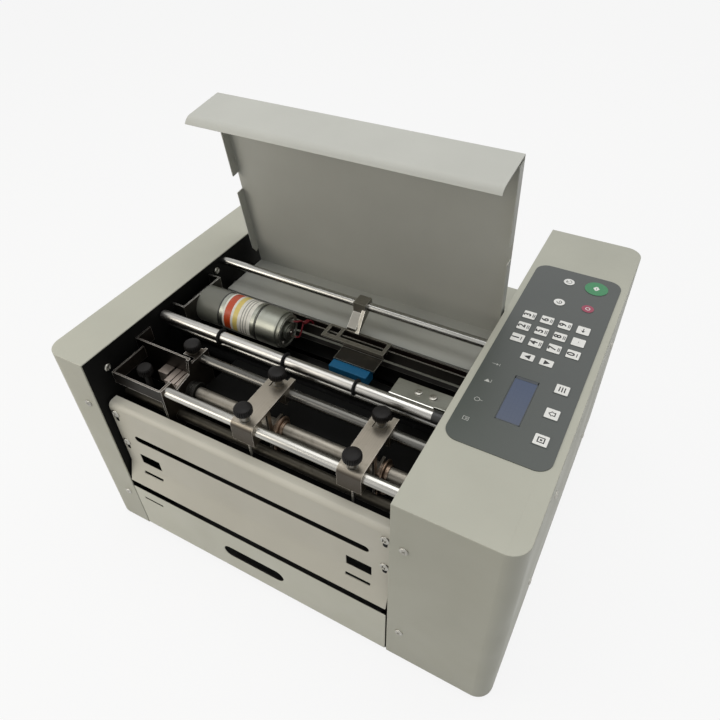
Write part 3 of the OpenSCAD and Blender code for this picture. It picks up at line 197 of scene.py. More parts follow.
def painted(name, colour, rough=0.45, tint=0.05, edge=None, bare_and_shaded=None, gloss=0.5):
    """Sprayed paint: fine orange peel, slow tone changes, smudges in the gloss and rubbed edges.

    Given a place in corner millimetres, faces behind its depth and below its height are left dark: on the
    cut edges of holes this is bare metal, and on the insides it is painted shade.
    """
    g = Graph(name)
    grain = 1500.0
    tone = g.spread(g.noise(7.0, 4.0), 0.0, 1.0)
    base = g.mix(tone, scaled(colour, 1.0 - tint), scaled(colour, 1.0 + tint))
    speck = g.spread(g.noise(grain * 0.6, 1.0), 0.0, 0.10, 0.55, 0.75)
    base = g.mix(speck, base, scaled(colour, 0.8))
    if edge:
        rub = g.math("MULTIPLY", g.edges(0.0012), g.spread(g.noise(60.0, 4.0), 0.0, 0.6, 0.45, 0.7))
        base = g.mix(rub, base, edge)
    # Cut edges left dark as bare metal, and insides left dark as painted shade.
    if bare_and_shaded:
        place = at(*bare_and_shaded)
        base = g.mix(g.behind(place.y, place.z), base, linear(20, 19, 18))
    smudge = g.spread(g.noise(22.0, 5.0), rough - 0.06, rough + 0.09)
    g.set(base_color=base, roughness=smudge, metallic=0.0)
    g.shader.inputs["Specular IOR Level"].default_value = gloss
    g.bump(g.noise(grain, 2.0), 0.25, 0.00005)
    return g.material


def metal(name, colour, rough=0.25, along="x", streak=0.06, tint=0.08, stain=None, edge=None, fine=900.0,
          bands=0.0, front=None, rear=None, low=None, edge_w=0.0008):
    """Machined or plated metal: drawn lines along one axis, uneven gloss, faint stains and painted
    highlights along the edges.

    bands is the strength of broad darker streaks along the axis, which are painted reflections; front is a
    dark colour for faces turned to the front, as painted shade; rear is (depth, colour): painted shade, a
    darker colour behind a depth in corner millimetres; and low is (height, colour): painted shade in the
    same way below a height.
    """
    g = Graph(name)
    stretch = {"x": (0.02, 1.0, 1.0), "y": (1.0, 0.02, 1.0), "z": (1.0, 1.0, 0.02)}[along]
    lines = g.noise(fine, 2.0, g.stretched(stretch))
    tone = g.spread(g.noise(16.0, 4.0), 0.0, 1.0)
    base = g.mix(tone, scaled(colour, 1.0 - tint), scaled(colour, 1.0 + tint))
    base = g.mix(g.spread(lines, 0.0, streak * 3.0), base, scaled(colour, 0.72))
    # Painted reflection: broad darker streaks along the axis.
    if bands:
        broad = g.noise(fine * 0.35, 3.0, g.stretched(stretch))
        base = g.mix(g.spread(broad, 0.0, bands, 0.45, 0.62), base, scaled(colour, 0.4))
    # Painted shade: a darker colour behind a depth along Y.
    if rear:
        place = g.split(g.place)["Y"]
        depth = at(0, rear[0], 0).y
        base = g.mix(g.spread(place, 0.0, 0.85, depth, depth + 0.004), base, rear[1])
    # Painted shade: a darker colour below a height.
    if low:
        height = at(0, 0, low[0]).z
        base = g.mix(g.spread(g.split(g.place)["Z"], 0.9, 0.0, height - 0.001, height), base, low[1])
    if stain:
        spots = g.spread(g.noise(85.0, 5.0), 0.0, 0.55, 0.56, 0.74)
        base = g.mix(spots, base, stain)
    # Painted shade: faces turned to the front are darkened.
    if front:
        base = g.mix(g.spread(g.facing("Y"), 0.9, 0.0, -0.95, -0.6), base, front)
    # Painted highlight: a light colour along sharp edges.
    if edge:
        base = g.mix(g.math("MULTIPLY", g.edges(edge_w), 0.85), base, edge)
    uneven = g.spread(g.noise(40.0, 4.0), rough - 0.04, rough + 0.06)
    uneven = g.math("ADD", uneven, g.spread(lines, 0.0, streak))
    g.set(base_color=base, roughness=uneven, metallic=1.0)
    g.bump(lines, 0.12, 0.00002)
    return g.material


def moulded(name, colour, rough=0.5, grain=2600.0, depth=0.00003, tint=0.08, edge=None, gloss=0.5):
    """Moulded plastic or rubber: fine spark texture, slight shade changes and pale scuffs."""
    g = Graph(name)
    tone = g.spread(g.noise(30.0, 3.0), 0.0, 1.0)
    base = g.mix(tone, scaled(colour, 1.0 - tint), scaled(colour, 1.0 + tint))
    scuff = g.spread(g.noise(140.0, 6.0), 0.0, 0.22, 0.60, 0.78)
    base = g.mix(scuff, base, edge or tuple(0.7 * c + 0.06 for c in colour))
    g.set(base_color=base, roughness=g.spread(g.noise(50.0, 4.0), rough - 0.08, rough + 0.1), metallic=0.0)
    g.shader.inputs["Specular IOR Level"].default_value = gloss
    g.bump(g.noise(grain, 2.0), 0.3, depth)
    return g.material


HOUSE = linear(187, 187, 174)
RUBBED = linear(206, 205, 196)
paint = painted("housing_paint", HOUSE, 0.46, edge=RUBBED, gloss=0.25)
lid_paint = painted("lid_paint", linear(190, 191, 184), 0.5, edge=RUBBED)
# The front panel's paint is the housing grey made lighter, as painted light on the front.
lit_panel_paint = painted("lit_panel_paint", linear(200, 197, 184), 0.46, edge=RUBBED, bare_and_shaded=(0, 10.4, 188))
# The drawer's paint is the housing grey made lighter still, as painted light on the front.
lit_drawer_paint = painted("lit_drawer_paint", scaled(HOUSE, 1.22), 0.46, edge=RUBBED, bare_and_shaded=(0, 0.5, 100))
black_paint = painted("frame_black_paint", linear(7, 7, 6), 0.62, tint=0.25,
                      edge=linear(40, 38, 34), gloss=0.15)
base_paint = painted("base_paint", linear(58, 58, 56), 0.6, tint=0.15)
gear_paint = painted("gearbox_paint", linear(106, 107, 98), 0.42, tint=0.10, edge=linear(150, 150, 140))
# The rods' and the roller's broad dark bands are painted reflections.
chrome = metal("rod_chrome", linear(176, 175, 170), 0.2, streak=0.08, tint=0.06, bands=0.5)
# The slitter rods' darker colour towards the rear is painted shade.
slit_chrome = metal("slitter_rod_chrome", linear(184, 182, 176), 0.22, streak=0.08, tint=0.06, bands=0.6,
                    rear=(60.0, linear(74, 73, 70)))
roller_chrome = metal("roller_chrome", linear(192, 190, 185), 0.26, streak=0.10, tint=0.05, bands=0.65)
bar_steel = metal("cross_bar_steel", linear(150, 149, 145), 0.22, streak=0.08, tint=0.08, bands=0.5)
shaft = metal("shaft_ground", linear(146, 141, 131), 0.42, streak=0.12, tint=0.12, stain=linear(92, 85, 75))
exit_steel = metal("exit_roller_steel", linear(70, 67, 60), 0.45, streak=0.12, tint=0.14,
                   stain=linear(44, 41, 36))
# The slitter brackets' dark front colour is painted shade on faces turned to the front.
nickel = metal("bracket_nickel", linear(150, 143, 131), 0.33, "y", 0.10, 0.10,
               linear(112, 103, 92), linear(226, 220, 208), front=linear(62, 56, 49))
# The end bracket's near-black front colour is painted shade on faces turned to the front.
end_nickel = metal("end_bracket_nickel", linear(92, 85, 77), 0.38, "x", 0.10, 0.18,
                   linear(60, 54, 47), linear(240, 236, 228), front=linear(24, 22, 20), edge_w=0.0014)
dark_steel = metal("dark_steel", linear(44, 43, 41), 0.5, streak=0.05, tint=0.15,
                   stain=linear(30, 29, 27), edge=linear(120, 118, 112))
edged_steel = metal("edged_dark_sheet", linear(84, 81, 76), 0.36, streak=0.10, tint=0.15,
                    stain=linear(54, 50, 46), edge=linear(238, 236, 228), edge_w=0.0014)
# The carriage's dark colour below 240 mm is painted shade on its hanging plate.
carriage_steel = metal("carriage_steel", linear(146, 143, 135), 0.28, streak=0.10, tint=0.15,
                       stain=linear(90, 86, 80), edge=linear(240, 238, 230),
                       low=(240.0, linear(46, 44, 42)), edge_w=0.0014)
bronze = metal("bronze", linear(138, 116, 98), 0.38, streak=0.1, tint=0.14,
               stain=linear(84, 70, 58), edge=linear(206, 190, 172))
block_steel = metal("bearing_block_steel", linear(176, 164, 154), 0.4, "y", 0.1, 0.1,
                    linear(120, 108, 98), linear(214, 206, 196))
# The bearing plate's dark front colour is painted shade on its lip.
silver_plate = metal("silver_plate", linear(176, 177, 168), 0.3, "x", 0.08, 0.10,
                     linear(128, 126, 118), front=linear(60, 57, 49))
# Very light steel for the bearing plate's fold: a painted highlight.
fold_highlight_steel = metal("fold_highlight_steel", linear(240, 239, 232), 0.24, streak=0.06, tint=0.05)
zinc = metal("zinc_screw", linear(178, 176, 168), 0.3, "z", 0.08, 0.12, linear(116, 112, 104))
# A darker copy of the screw zinc for knob necks and clamp bolts: painted shade under knobs and brackets.
shaded_neck_steel = metal("shaded_neck_steel", linear(128, 125, 118), 0.34, "z", 0.08, 0.12, linear(84, 80, 74))
blade = metal("blade_steel", linear(78, 78, 77), 0.3, streak=0.04, tint=0.06, edge=linear(210, 210, 206))
can_metal = metal("motor_can_metal", linear(158, 160, 150), 0.36, "x", 0.06, 0.05,
                  linear(132, 132, 122), fine=600.0)
cap_metal = metal("motor_cap_metal", linear(140, 141, 132), 0.42, "z", 0.08, 0.12,
                  linear(70, 68, 60), linear(196, 196, 186))
supply_case = metal("supply_case", linear(170, 171, 172), 0.4, "y", 0.08)
knob_plastic = moulded("knob_plastic", linear(17, 15, 14), 0.5, tint=0.2,
                       edge=linear(52, 48, 45), gloss=0.2)
rubber = moulded("rubber", linear(12, 12, 12), 0.75, 1800.0, 0.00006, gloss=0.2)
black_plastic = moulded("black_plastic", linear(30, 30, 29), 0.45)
sensor_blue = moulded("sensor_blue", linear(12, 90, 130), 0.45, tint=0.10,
                      edge=linear(50, 130, 170), gloss=0.35)
board_green = moulded("board_green", linear(30, 92, 48), 0.4)
wire_red = moulded("wire_red", linear(112, 28, 36), 0.5, gloss=0.3)


def overlay_film():
    """Satin printed film, with a painted reflection that makes it a little darker and greener towards the
    front inner corner.
    """
    g = Graph("overlay_film")
    place = g.split(g.place)
    # Painted reflection: darker and greener towards the front inner corner.
    slant = g.math("ADD", place["X"], g.math("MULTIPLY", place["Y"], 0.6))
    shade = g.spread(slant, 1.0, 0.0, 0.08, 0.19)
    base = g.mix(shade, linear(80, 84, 82), linear(73, 79, 74))
    base = g.mix(g.spread(g.noise(1600.0, 2.0), 0.0, 0.14), base, linear(106, 107, 104))
    g.set(base_color=base, roughness=g.spread(g.noise(18.0, 5.0), 0.34, 0.46), metallic=0.0)
    g.bump(g.noise(2400.0, 2.0), 0.2, 0.00002)
    return g.material


def display_glass():
    """Unlit blue display: pale towards the front, with a faint grid of character cells."""
    g = Graph("display_glass")
    fade = g.spread(g.split(g.place)["Y"], 0.0, 1.0, -0.11, -0.045)
    base = g.mix(fade, linear(84, 93, 112), linear(70, 84, 112))
    cells = g.add("ShaderNodeTexBrick", offset=0.0)
    cell = {"Scale": 90.0, "Mortar Size": 0.035, "Brick Width": 0.32, "Row Height": 0.5}
    for socket, value in cell.items():
        cells.inputs[socket].default_value = value
    g.link(g.place, cells.inputs["Vector"])
    base = g.mix(g.math("MULTIPLY", cells.outputs["Fac"], 0.12), base, linear(60, 70, 96))
    g.set(base_color=base, roughness=g.spread(g.noise(30.0, 4.0), 0.08, 0.2), metallic=0.0)
    g.bump(g.noise(120.0, 2.0), 0.05, 0.00002)
    return g.material


def key_print(name, colour, rough=0.4):
    """Printed key area: even ink with a slight bloom and fine film grain."""
    g = Graph(name)
    base = g.mix(g.spread(g.noise(260.0, 3.0), 0.0, 1.0), scaled(colour, 0.95), scaled(colour, 1.03))
    g.set(base_color=base, roughness=g.spread(g.noise(70.0, 3.0), rough - 0.06, rough + 0.08), metallic=0.0)
    g.bump(g.noise(2600.0, 2.0), 0.15, 0.00002)
    return g.material


def label_bands():
    """Paper sleeve with plain coloured bands across the motor and fine rules at one side."""
    g = Graph("label_bands")
    ramp = g.add("ShaderNodeValToRGB")
    ramp.color_ramp.interpolation = "CONSTANT"
    paper, grey = linear(226, 224, 214), linear(140, 138, 130)
    orange, straw = linear(186, 66, 20), linear(218, 196, 110)
    stops = [(0.0, paper), (0.06, orange), (0.30, paper), (0.38, straw), (0.55, paper)]
    for rule in (0.66, 0.75, 0.84):
        stops += [(rule, grey), (rule + 0.03, paper)]
    while len(ramp.color_ramp.elements) < len(stops):
        ramp.color_ramp.elements.new(1.0)
    for element, (place, colour) in zip(ramp.color_ramp.elements, stops):
        element.position = place
        element.color = (*colour, 1.0)
    along = g.spread(g.split(g.place)["X"], 0.0, 1.0, at(label_from, 0, 0).x, at(label_to, 0, 0).x)
    g.link(along, ramp.inputs["Fac"])
    soil = g.spread(g.noise(300.0, 4.0), 0.0, 0.22, 0.5, 0.75)
    base = g.mix(soil, ramp.outputs["Color"], linear(150, 140, 120))
    g.set(base_color=base, roughness=g.spread(g.noise(80.0, 3.0), 0.34, 0.48), metallic=0.0)
    g.bump(g.noise(900.0, 3.0), 0.15, 0.00003)
    return g.material


can_low, can_high = mm_box("motor_can")
label_from, label_to = can_low.x + 7.0, can_low.x + 44.5

white_key = key_print("key_white", linear(236, 236, 232))
legend_black = key_print("legend_black", linear(34, 34, 34), 0.5)
legend_grey = key_print("legend_grey", linear(84, 84, 82), 0.5)
icon_white = key_print("icon_white", linear(196, 197, 192), 0.5)
green_key = key_print("key_green", linear(62, 138, 92))
red_key = key_print("key_red", linear(158, 70, 92))
display_frame = key_print("display_frame", linear(66, 71, 76), 0.35)

dress = {
    paint: ["left_cover", "right_cover", "rear_panel", "feed_table"],
    lit_drawer_paint: ["waste_drawer"],
    lit_panel_paint: ["front_panel"],
    lid_paint: ["lid"],
    base_paint: ["base_plate"],
    black_paint: ["left_side_plate", "right_side_plate", "guide_plate"],
    chrome: ["rear_rod", "pinch_roller"],
    slit_chrome: ["slitter_rods"],
    roller_chrome: ["transport_roller"],
    shaft: ["upper_slitter_shaft", "lower_slitter_shaft", "drive_pulley", "crank"],
    nickel: ["left_slitter_bracket", "right_slitter_bracket"],
    edged_steel: ["motor_bracket", "channel_beam"],
    carriage_steel: ["sensor_carriage"],
    bar_steel: ["cross_bar"],
    end_nickel: ["end_bracket"],
    dark_steel: ["knife_yoke", "knife_guides"],
    block_steel: ["bearing_block"],
    bronze: ["left_upper_cutter", "left_lower_cutter", "right_upper_cutter", "right_lower_cutter"],
    silver_plate: ["bearing_plate"],
    zinc: ["screws", "lid_pins"],
    blade: ["knife_blade", "fixed_blade"],
    can_metal: ["motor_can"],
    gear_paint: ["gearbox"],
    cap_metal: ["motor_cap"],
    knob_plastic: ["left_front_knob", "left_back_knob", "right_front_knob", "right_back_knob", "end_knob"],
    rubber: ["feet", "rubber_rings", "timing_belt", "feed_roller"],
    exit_steel: ["exit_roller"],
    black_plastic: ["power_inlet", "rocker_switch", "drive_motor"],
    sensor_blue: ["sensor_body"],
    board_green: ["control_board"],
    wire_red: ["motor_leads"],
    supply_case: ["power_supply"],
    overlay_film(): ["control_overlay"],
    display_glass(): ["lcd_display"],
}
for material, names in dress.items():
    for name in names:
        slots = NODES[name].data.materials
        slots.clear()
        slots.append(material)
assert sorted(n for names in dress.values() for n in names) == sorted(NODES)


def soften(node, width):
    """Rounds a CAD node's sharp edges for the eye, as bent sheet and deburred metal have them."""
    obj = NODES[node]
    weld = obj.modifiers.new("weld", "WELD")
    weld.merge_threshold = 1e-6
    flat = obj.modifiers.new("flat", "DECIMATE")
    flat.decimate_type = "DISSOLVE"
    flat.angle_limit = math.radians(0.5)
    bevel = obj.modifiers.new("bevel", "BEVEL")
    bevel.width = width * MM
    bevel.segments = 3
    bevel.limit_method = "ANGLE"
    bevel.angle_limit = math.radians(32.0)
    bevel.use_clamp_overlap = True
    bevel.miter_outer = "MITER_ARC"
    normals = obj.modifiers.new("normals", "WEIGHTED_NORMAL")
    normals.keep_sharp = False
    normals.weight = 60


for node, width in (("left_cover", 0.7), ("right_cover", 0.7), ("lid", 0.5), ("front_panel", 0.45),
                    ("waste_drawer", 0.45), ("rear_panel", 0.4), ("feed_table", 0.4),
                    ("left_slitter_bracket", 0.5), ("right_slitter_bracket", 0.5), ("sensor_body", 0.8),
                    ("power_inlet", 0.5), ("bearing_block", 0.5), ("bearing_plate", 1.2)):
    soften(node, width)


# Mesh building, in millimetres from the front left bottom corner

def piece(name, bm, material, body, sharp=38.0):
    """Turns a bmesh in corner millimetres into a piece of the object that rides on a body."""
    for v in bm.verts:
        v.co = at(*v.co)
    bmesh.ops.recalc_face_normals(bm, faces=bm.faces)
    mesh = bpy.data.meshes.new(name)
    bm.to_mesh(mesh)
    bm.free()
    mesh.materials.append(material)
    mesh.shade_smooth()
    mesh.set_sharp_from_angle(angle=math.radians(sharp))
    obj = bpy.data.objects.new(name, mesh)
    scene.collection.objects.link(obj)
    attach(obj, body)
    return obj


def turn(count):
    """Angles of evenly spaced points around a circle."""
    return [2.0 * math.pi * k / count for k in range(count)]


def add_rings(bm, rings):
    """Skins a list of rings of points and closes both ends; each ring has the same number of points."""
    rows = [[bm.verts.new(p) for p in ring] for ring in rings]
    count = len(rows[0])
    for low, high in zip(rows, rows[1:]):
        for i in range(count):
            bm.faces.new((low[i], low[(i + 1) % count], high[(i + 1) % count], high[i]))
    bm.faces.new(list(reversed(rows[0])))
    bm.faces.new(rows[-1])


def add_lathe(bm, profile, centre, axis="z", sides=48, ribs=0, rib_depth=0.0):
    """Revolves (radius, height, ribbed) steps about x or z through the centre; ribbed ones carry ribs."""
    centre = Vector(centre)
    count = sides if not ribs else ribs * 4
    rings = []
    for step in profile:
        radius, height = step[0], step[1]
        ribbed = len(step) > 2 and step[2]
        ring = []
        for i, a in enumerate(turn(count)):
            r = radius - (rib_depth if ribbed and i % 4 in (0, 3) else 0.0)
            u, v = r * math.cos(a), r * math.sin(a)
            ring.append(centre + Vector((u, v, height) if axis == "z" else (height, u, v)))
        rings.append(ring)
    add_rings(bm, rings)


def add_slab(bm, outline, z0, z1, round_edge=0.0):
    """Upright slab over an outline of (x, y) points, with an optional small chamfer on top."""
    cx = sum(p[0] for p in outline) / len(outline)
    cy = sum(p[1] for p in outline) / len(outline)
    rings = [[Vector((x, y, z)) for x, y in outline] for z in (z0, z1 - round_edge)]
    if round_edge:
        top = []
        for x, y in outline:
            away = Vector((x - cx, y - cy, 0.0))
            top.append(Vector((x, y, z1)) - away.normalized() * round_edge)
        rings.append(top)
    add_rings(bm, rings)


def rounded_outline(cx, cy, w, d, r, steps=5):
    """Rectangle with round corners."""
    points = []
    for sx, sy, start in ((1, 1, 0), (-1, 1, 90), (-1, -1, 180), (1, -1, 270)):
        x, y = cx + sx * (w / 2 - r), cy + sy * (d / 2 - r)
        for i in range(steps + 1):
            a = math.radians(start + 90.0 * i / steps)
            points.append((x + r * math.cos(a), y + r * math.sin(a)))
    return points


def oval_outline(cx, cy, w, d, steps=12):
    """Outline with straight sides and round ends."""
    r = w / 2
    points = []
    for end, start in ((1, 0.0), (-1, math.pi)):
        for i in range(steps):
            a = start + math.pi * (i + 0.5) / steps
            points.append((cx + r * math.cos(a), cy + end * (d / 2 - r) + r * math.sin(a)))
    return points


def round_outline(cx, cy, r, steps=32):
    """Circle."""
    return [(cx + r * math.cos(a), cy + r * math.sin(a)) for a in turn(steps)]


def smooth_path(points, steps=8):
    """Points along a smooth curve through the given points."""
    pts = [Vector(p) for p in points]
    out = []
    for i in range(len(pts) - 1):
        a, b = pts[max(i - 1, 0)], pts[i]
        c, d = pts[i + 1], pts[min(i + 2, len(pts) - 1)]
        for k in range(steps):
            t = k / steps
            square, cube = 2 * a - 5 * b + 4 * c - d, 3 * b - a - 3 * c + d
            out.append(0.5 * (2 * b + (c - a) * t + square * t ** 2 + cube * t ** 3))
    return out + [pts[-1]]


def add_tube(bm, path, radius, sides=10):
    """Round tube along a path, with a frame that doesn't twist."""
    pts = [Vector(p) for p in path]
    across = None
    rings = []
    for i, p in enumerate(pts):
        ahead = (pts[min(i + 1, len(pts) - 1)] - pts[max(i - 1, 0)]).normalized()
        if across is None:
            across = ahead.orthogonal().normalized()
        across = (across - ahead * across.dot(ahead)).normalized()
        over = ahead.cross(across)
        rings.append([p + radius * (across * math.cos(a) + over * math.sin(a)) for a in turn(sides)])
    add_rings(bm, rings)


def add_box(bm, low, high):
    """Box between two corners."""
    (x0, y0, z0), (x1, y1, z1) = low, high
    add_slab(bm, [(x0, y0), (x1, y0), (x1, y1), (x0, y1)], z0, z1)


# Thumb screws

def knob(node, body, neck_h):
    """Knurled plastic head on a plain metal neck."""
    low, high = mm_box(node)
    middle = axis_through(node, "z")
    radius, top = (high.x - low.x) / 2, high.z
    head = top - 9.0
    neck = head - neck_h
    rim = [(radius - 0.5, head + 0.7, True), (radius, head + 1.6, True), (radius, top - 3.0, True),
           (radius - 0.35, top - 2.0, True)]
    dome = [(radius - 1.2, top - 1.2), (radius - 2.6, top - 0.55), (radius * 0.45, top - 0.1), (0.4, top)]
    bm = bmesh.new()
    add_lathe(bm, [(4.4, head + 0.3), (radius - 1.4, head)] + rim + dome, middle, ribs=26, rib_depth=0.8)
    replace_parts(piece("knurled_" + node, bm, knob_plastic, body, 30.0), node)
    collar = [(5.2, neck), (5.2, neck + 1.0), (3.9, neck + 1.3)]
    bm = bmesh.new()
    add_lathe(bm, [(2.4, low.z), (2.4, neck)] + collar + [(3.7, head - 0.6), (4.3, head + 0.3)],
              middle, sides=40)
    piece(node + "_neck", bm, shaded_neck_steel, body, 30.0)


for place in ("left_front", "left_back", "right_front", "right_back", "end"):
    knob(place + "_knob", "knob_" + place, 4.3 if place == "end" else 10.0)


# Cutters and the collar on their shaft

def cutter(node, body):
    """Ground disc on a ribbed hub."""
    low, high = mm_box(node)
    radius, hub, root, thick = (high.y - low.y) / 2, 8.5, 7.9, 3.0
    disc = low.x + (3.3 if "upper" in node else 0.0)
    profile = []
    for k in range(int(disc - low.x)):
        x = low.x + k
        profile += [(hub, x), (hub, x + 0.6), (root, x + 0.7), (root, x + 0.95)]
    profile += [(hub, disc), (radius - 1.2, disc), (radius, disc + 0.9), (radius, disc + 2.1),
                (radius - 1.2, disc + thick), (hub, disc + thick)]
    for k in range(int(high.x - disc - thick)):
        x = disc + thick + k
        profile += [(root, x + 0.05), (root, x + 0.3), (hub, x + 0.4), (hub, x + 0.95)]
    bm = bmesh.new()
    add_lathe(bm, profile, axis_through(node, "x"), "x", 64)
    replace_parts(piece("ground_" + node, bm, bronze, body, 30.0), node)


def shaft_collar():
    """Ribbed collar on the upper slitter shaft, beside the end bracket."""
    wall = mm_box("end_bracket")[1].x
    bore, rib, root, flange = 6.55, 9.6, 8.7, 11.4
    profile = [(bore, wall + 0.4)]
    for k in range(4):
        x = wall + 0.4 + 2.0 * k
        profile += [(rib, x), (rib, x + 1.2), (root, x + 1.5), (root, x + 1.8)]
    profile += [(flange - 0.4, wall + 8.6), (flange, wall + 9.0), (flange, wall + 10.6),
                (flange - 0.4, wall + 11.0), (bore, wall + 11.0)]
    bm = bmesh.new()
    add_lathe(bm, profile, axis_through("upper_slitter_shaft", "x"), "x", 64)
    piece("shaft_collar", bm, dark_steel, "shaft_upper", 30.0)


for side in ("left", "right"):
    for level in ("upper", "lower"):
        cutter(f"{side}_{level}_cutter", f"{side}_cutter_{level}")
shaft_collar()


# Screws at the places of the CAD heads, each given as a place and its face's outward direction

def add_screw(bm, place, away, radius=4.2):
    """Domed head with a cross recess on a face at a place."""
    away = Vector(away).normalized()
    side = away.orthogonal().normalized()
    over = away.cross(side)
    place = Vector(place)
    rows, sides = 12, 40
    height, recess = 2.0, 0.9
    slot, arm = radius * 0.16, radius * 0.55
    rings = [[place + radius * (side * math.cos(a) + over * math.sin(a)) for a in turn(sides)]]
    for j in range(rows):
        s = 1.0 - j / rows
        ring = []
        for a in turn(sides):
            u, v = radius * s * math.cos(a), radius * s * math.sin(a)
            h = height * (0.42 + 0.58 * math.sqrt(max(0.0, 1.0 - s * s)))
            if min(abs(u), abs(v)) < slot and max(abs(u), abs(v)) < arm:
                h -= recess
            ring.append(place + side * u + over * v + away * h)
        rings.append(ring)
    add_rings(bm, rings)


def bay_screws():
    """Screws in the end bracket's wall and on the bearing plate."""
    wall, top = mm_box("end_bracket")[0].x, mm_box("end_bracket")[1].z
    end = mm_box("bearing_plate")[1]
    faces = [((wall, 27.0, top - 7.0), (1, 0, 0)), ((wall, 210.0, top + 1.0), (1, 0, 0))]
    for from_end in (24.5, 40.0):
        faces.append(((end.x - from_end, end.y - 11.0, end.z), (0, 0, 1)))
    return faces


def cover_screws():
    """Screws at the front, back and sides of the covers; the right cover's side leans inwards."""
    body_w, body_d, body_h = mm_box("right_cover")[1]
    right_lean, inset, rise = 5.5, 14.0, 59.0
    slope = right_lean / body_h
    faces = []
    for z in (rise, body_h - rise):
        for x in (mm_box("left_cover")[1].x - inset, mm_box("right_cover")[0].x + inset):
            faces += [((x, 0.0, z), (0, -1, 0)), ((x, body_d, z), (0, 1, 0))]
        for y in (0.25 * body_d, 0.75 * body_d):
            faces += [((0.0, y, z), (-1, 0, 0)), ((body_w - slope * z, y, z), (1, 0, slope))]
    return faces


def panel_screws():
    """Screws at both ends of the front panel."""
    low, high = mm_box("front_panel")
    inset, face_y = 6.3, 10.0
    xs, zs = (low.x + inset, high.x - inset), (155.0, 201.0)
    return [((x, face_y, z), (0, -1, 0)) for x in xs for z in zs]


def screw_heads():
    bm = bmesh.new()
    for place, away in bay_screws() + cover_screws():
        add_screw(bm, place, away)
    for place, away in panel_screws():
        add_screw(bm, place, away, 5.0)
    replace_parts(piece("cross_head_screws", bm, zinc, "housing", 50.0), "screws")


def panel_slot_shade():
    """Thin black ovals behind the front panel's screw heads: painted shade standing in for slotted holes.
    """
    bm = bmesh.new()
    for (x, y, z), _ in panel_screws():
        oval = oval_outline(x, z - 4.5, 4.8, 14.8)
        add_rings(bm, [[Vector((u, y - h, w)) for u, w in oval] for h in (0.0, 0.06)])
    piece("panel_screw_slot_shade", bm, black_paint, "housing")


screw_heads()
panel_slot_shade()


# Bolts, the transport roller's collar and the fold of the bearing plate

def bolt_thread(r, top, end, pitch):
    """Steps of a thread from its top down to its end."""
    root = 0.72 * r
    steps = []
    for k in range(int((top - end) / pitch)):
        z = top - pitch * k
        steps += [(r, z), (r, z - 0.4 * pitch), (root, z - 0.6 * pitch), (root, z - 0.8 * pitch)]
    return steps + [(0.5 * r, end), (0.1, end)]


def clamp_bolt(side):
    """Threaded end of a clamp bolt that hangs below the front of a slitter bracket."""
    middle = axis_through(side + "_front_knob", "z") - Vector((0.0, 1.0, 0.0))
    under = mm_box(side + "_slitter_bracket")[1].z - 24.6
    bm = bmesh.new()
    add_lathe(bm, bolt_thread(1.6, under, under - 28.0, 2.6), middle, sides=24)
    piece(side + "_clamp_bolt", bm, shaded_neck_steel, side + "_slitter", 30.0)


def end_bracket_bolt():
    """Dark bolt with a ribbed head that stands in the end bracket."""
    low, high = mm_box("end_bracket")
    place, top = (low.x + 33.5, 45.0, 0.0), high.z - 6.5
    shank, head = 3.4, 8.0
    profile = [(shank, top - 30.0), (shank, top - 9.0), (head - 0.8, top - 9.0), (head, top - 8.0, True),
               (head, top - 1.8, True), (head - 1.2, top - 0.5), (0.4, top)]
    bm = bmesh.new()
    add_lathe(bm, profile, place, ribs=24, rib_depth=0.7)
    piece("end_bracket_bolt", bm, knob_plastic, "housing", 30.0)


def roller_collar():
    """Dark sleeve on the right end of the transport roller."""
    low, high = mm_box("transport_roller")
    r, end = (high.z - low.z) / 2 + 0.5, mm_box("bearing_plate")[1].x
    profile = [(r - 1.0, end - 13.0), (r, end - 12.6), (r, end - 0.6), (r - 1.0, end - 0.5)]
    bm = bmesh.new()
    add_lathe(bm, profile, axis_through("transport_roller", "x"), "x", 64)
    piece("roller_collar", bm, black_plastic, "roller_transport", 30.0)


def bearing_plate_fold():
    """Fold along the front edge of the bearing plate, in a very light metal that paints the highlight along
    it.
    """
    low, high = mm_box("bearing_plate")
    start, end = low.x + 0.2, mm_box("right_side_plate")[0].x - 0.5
    bm = bmesh.new()
    add_tube(bm, [(x, low.y + 1.0, high.z - 1.0) for x in (start, (start + end) / 2, end)], 1.5, 20)
    piece("bearing_plate_fold", bm, fold_highlight_steel, "housing", 60.0)


clamp_bolt("left")
clamp_bolt("right")
end_bracket_bolt()
roller_collar()
bearing_plate_fold()


# Keys, legends and display

PAD, INK = 0.12, 0.06
film_top = mm_box("control_overlay")[1].z
pad_top = film_top + PAD
lcd_x, lcd_y, _ = axis_through("lcd_display", "z")
key_x, key_y = lcd_x - 27.05, lcd_y + 83.5
pitch_x, pitch_y = 18.7, 20.4
big_x, small_x = key_x + 2.75 * pitch_x, key_x + 1.15 * pitch_x
start_y, stop_y = key_y + 119.0, key_y + 79.0


def add_pad(bm, outline, edge=0.05):
    """Printed key area on the film."""
    add_slab(bm, outline, film_top, pad_top, edge)


def add_ink(bm, shapes, cx, cy, layer=0):
    """Flat shapes given as (right, up) outlines for a reader at the right side, set as thin ink."""
    z = pad_top + layer * INK
    for shape in shapes:
        add_slab(bm, [(cx - v, cy + u) for u, v in shape], z, z + INK)


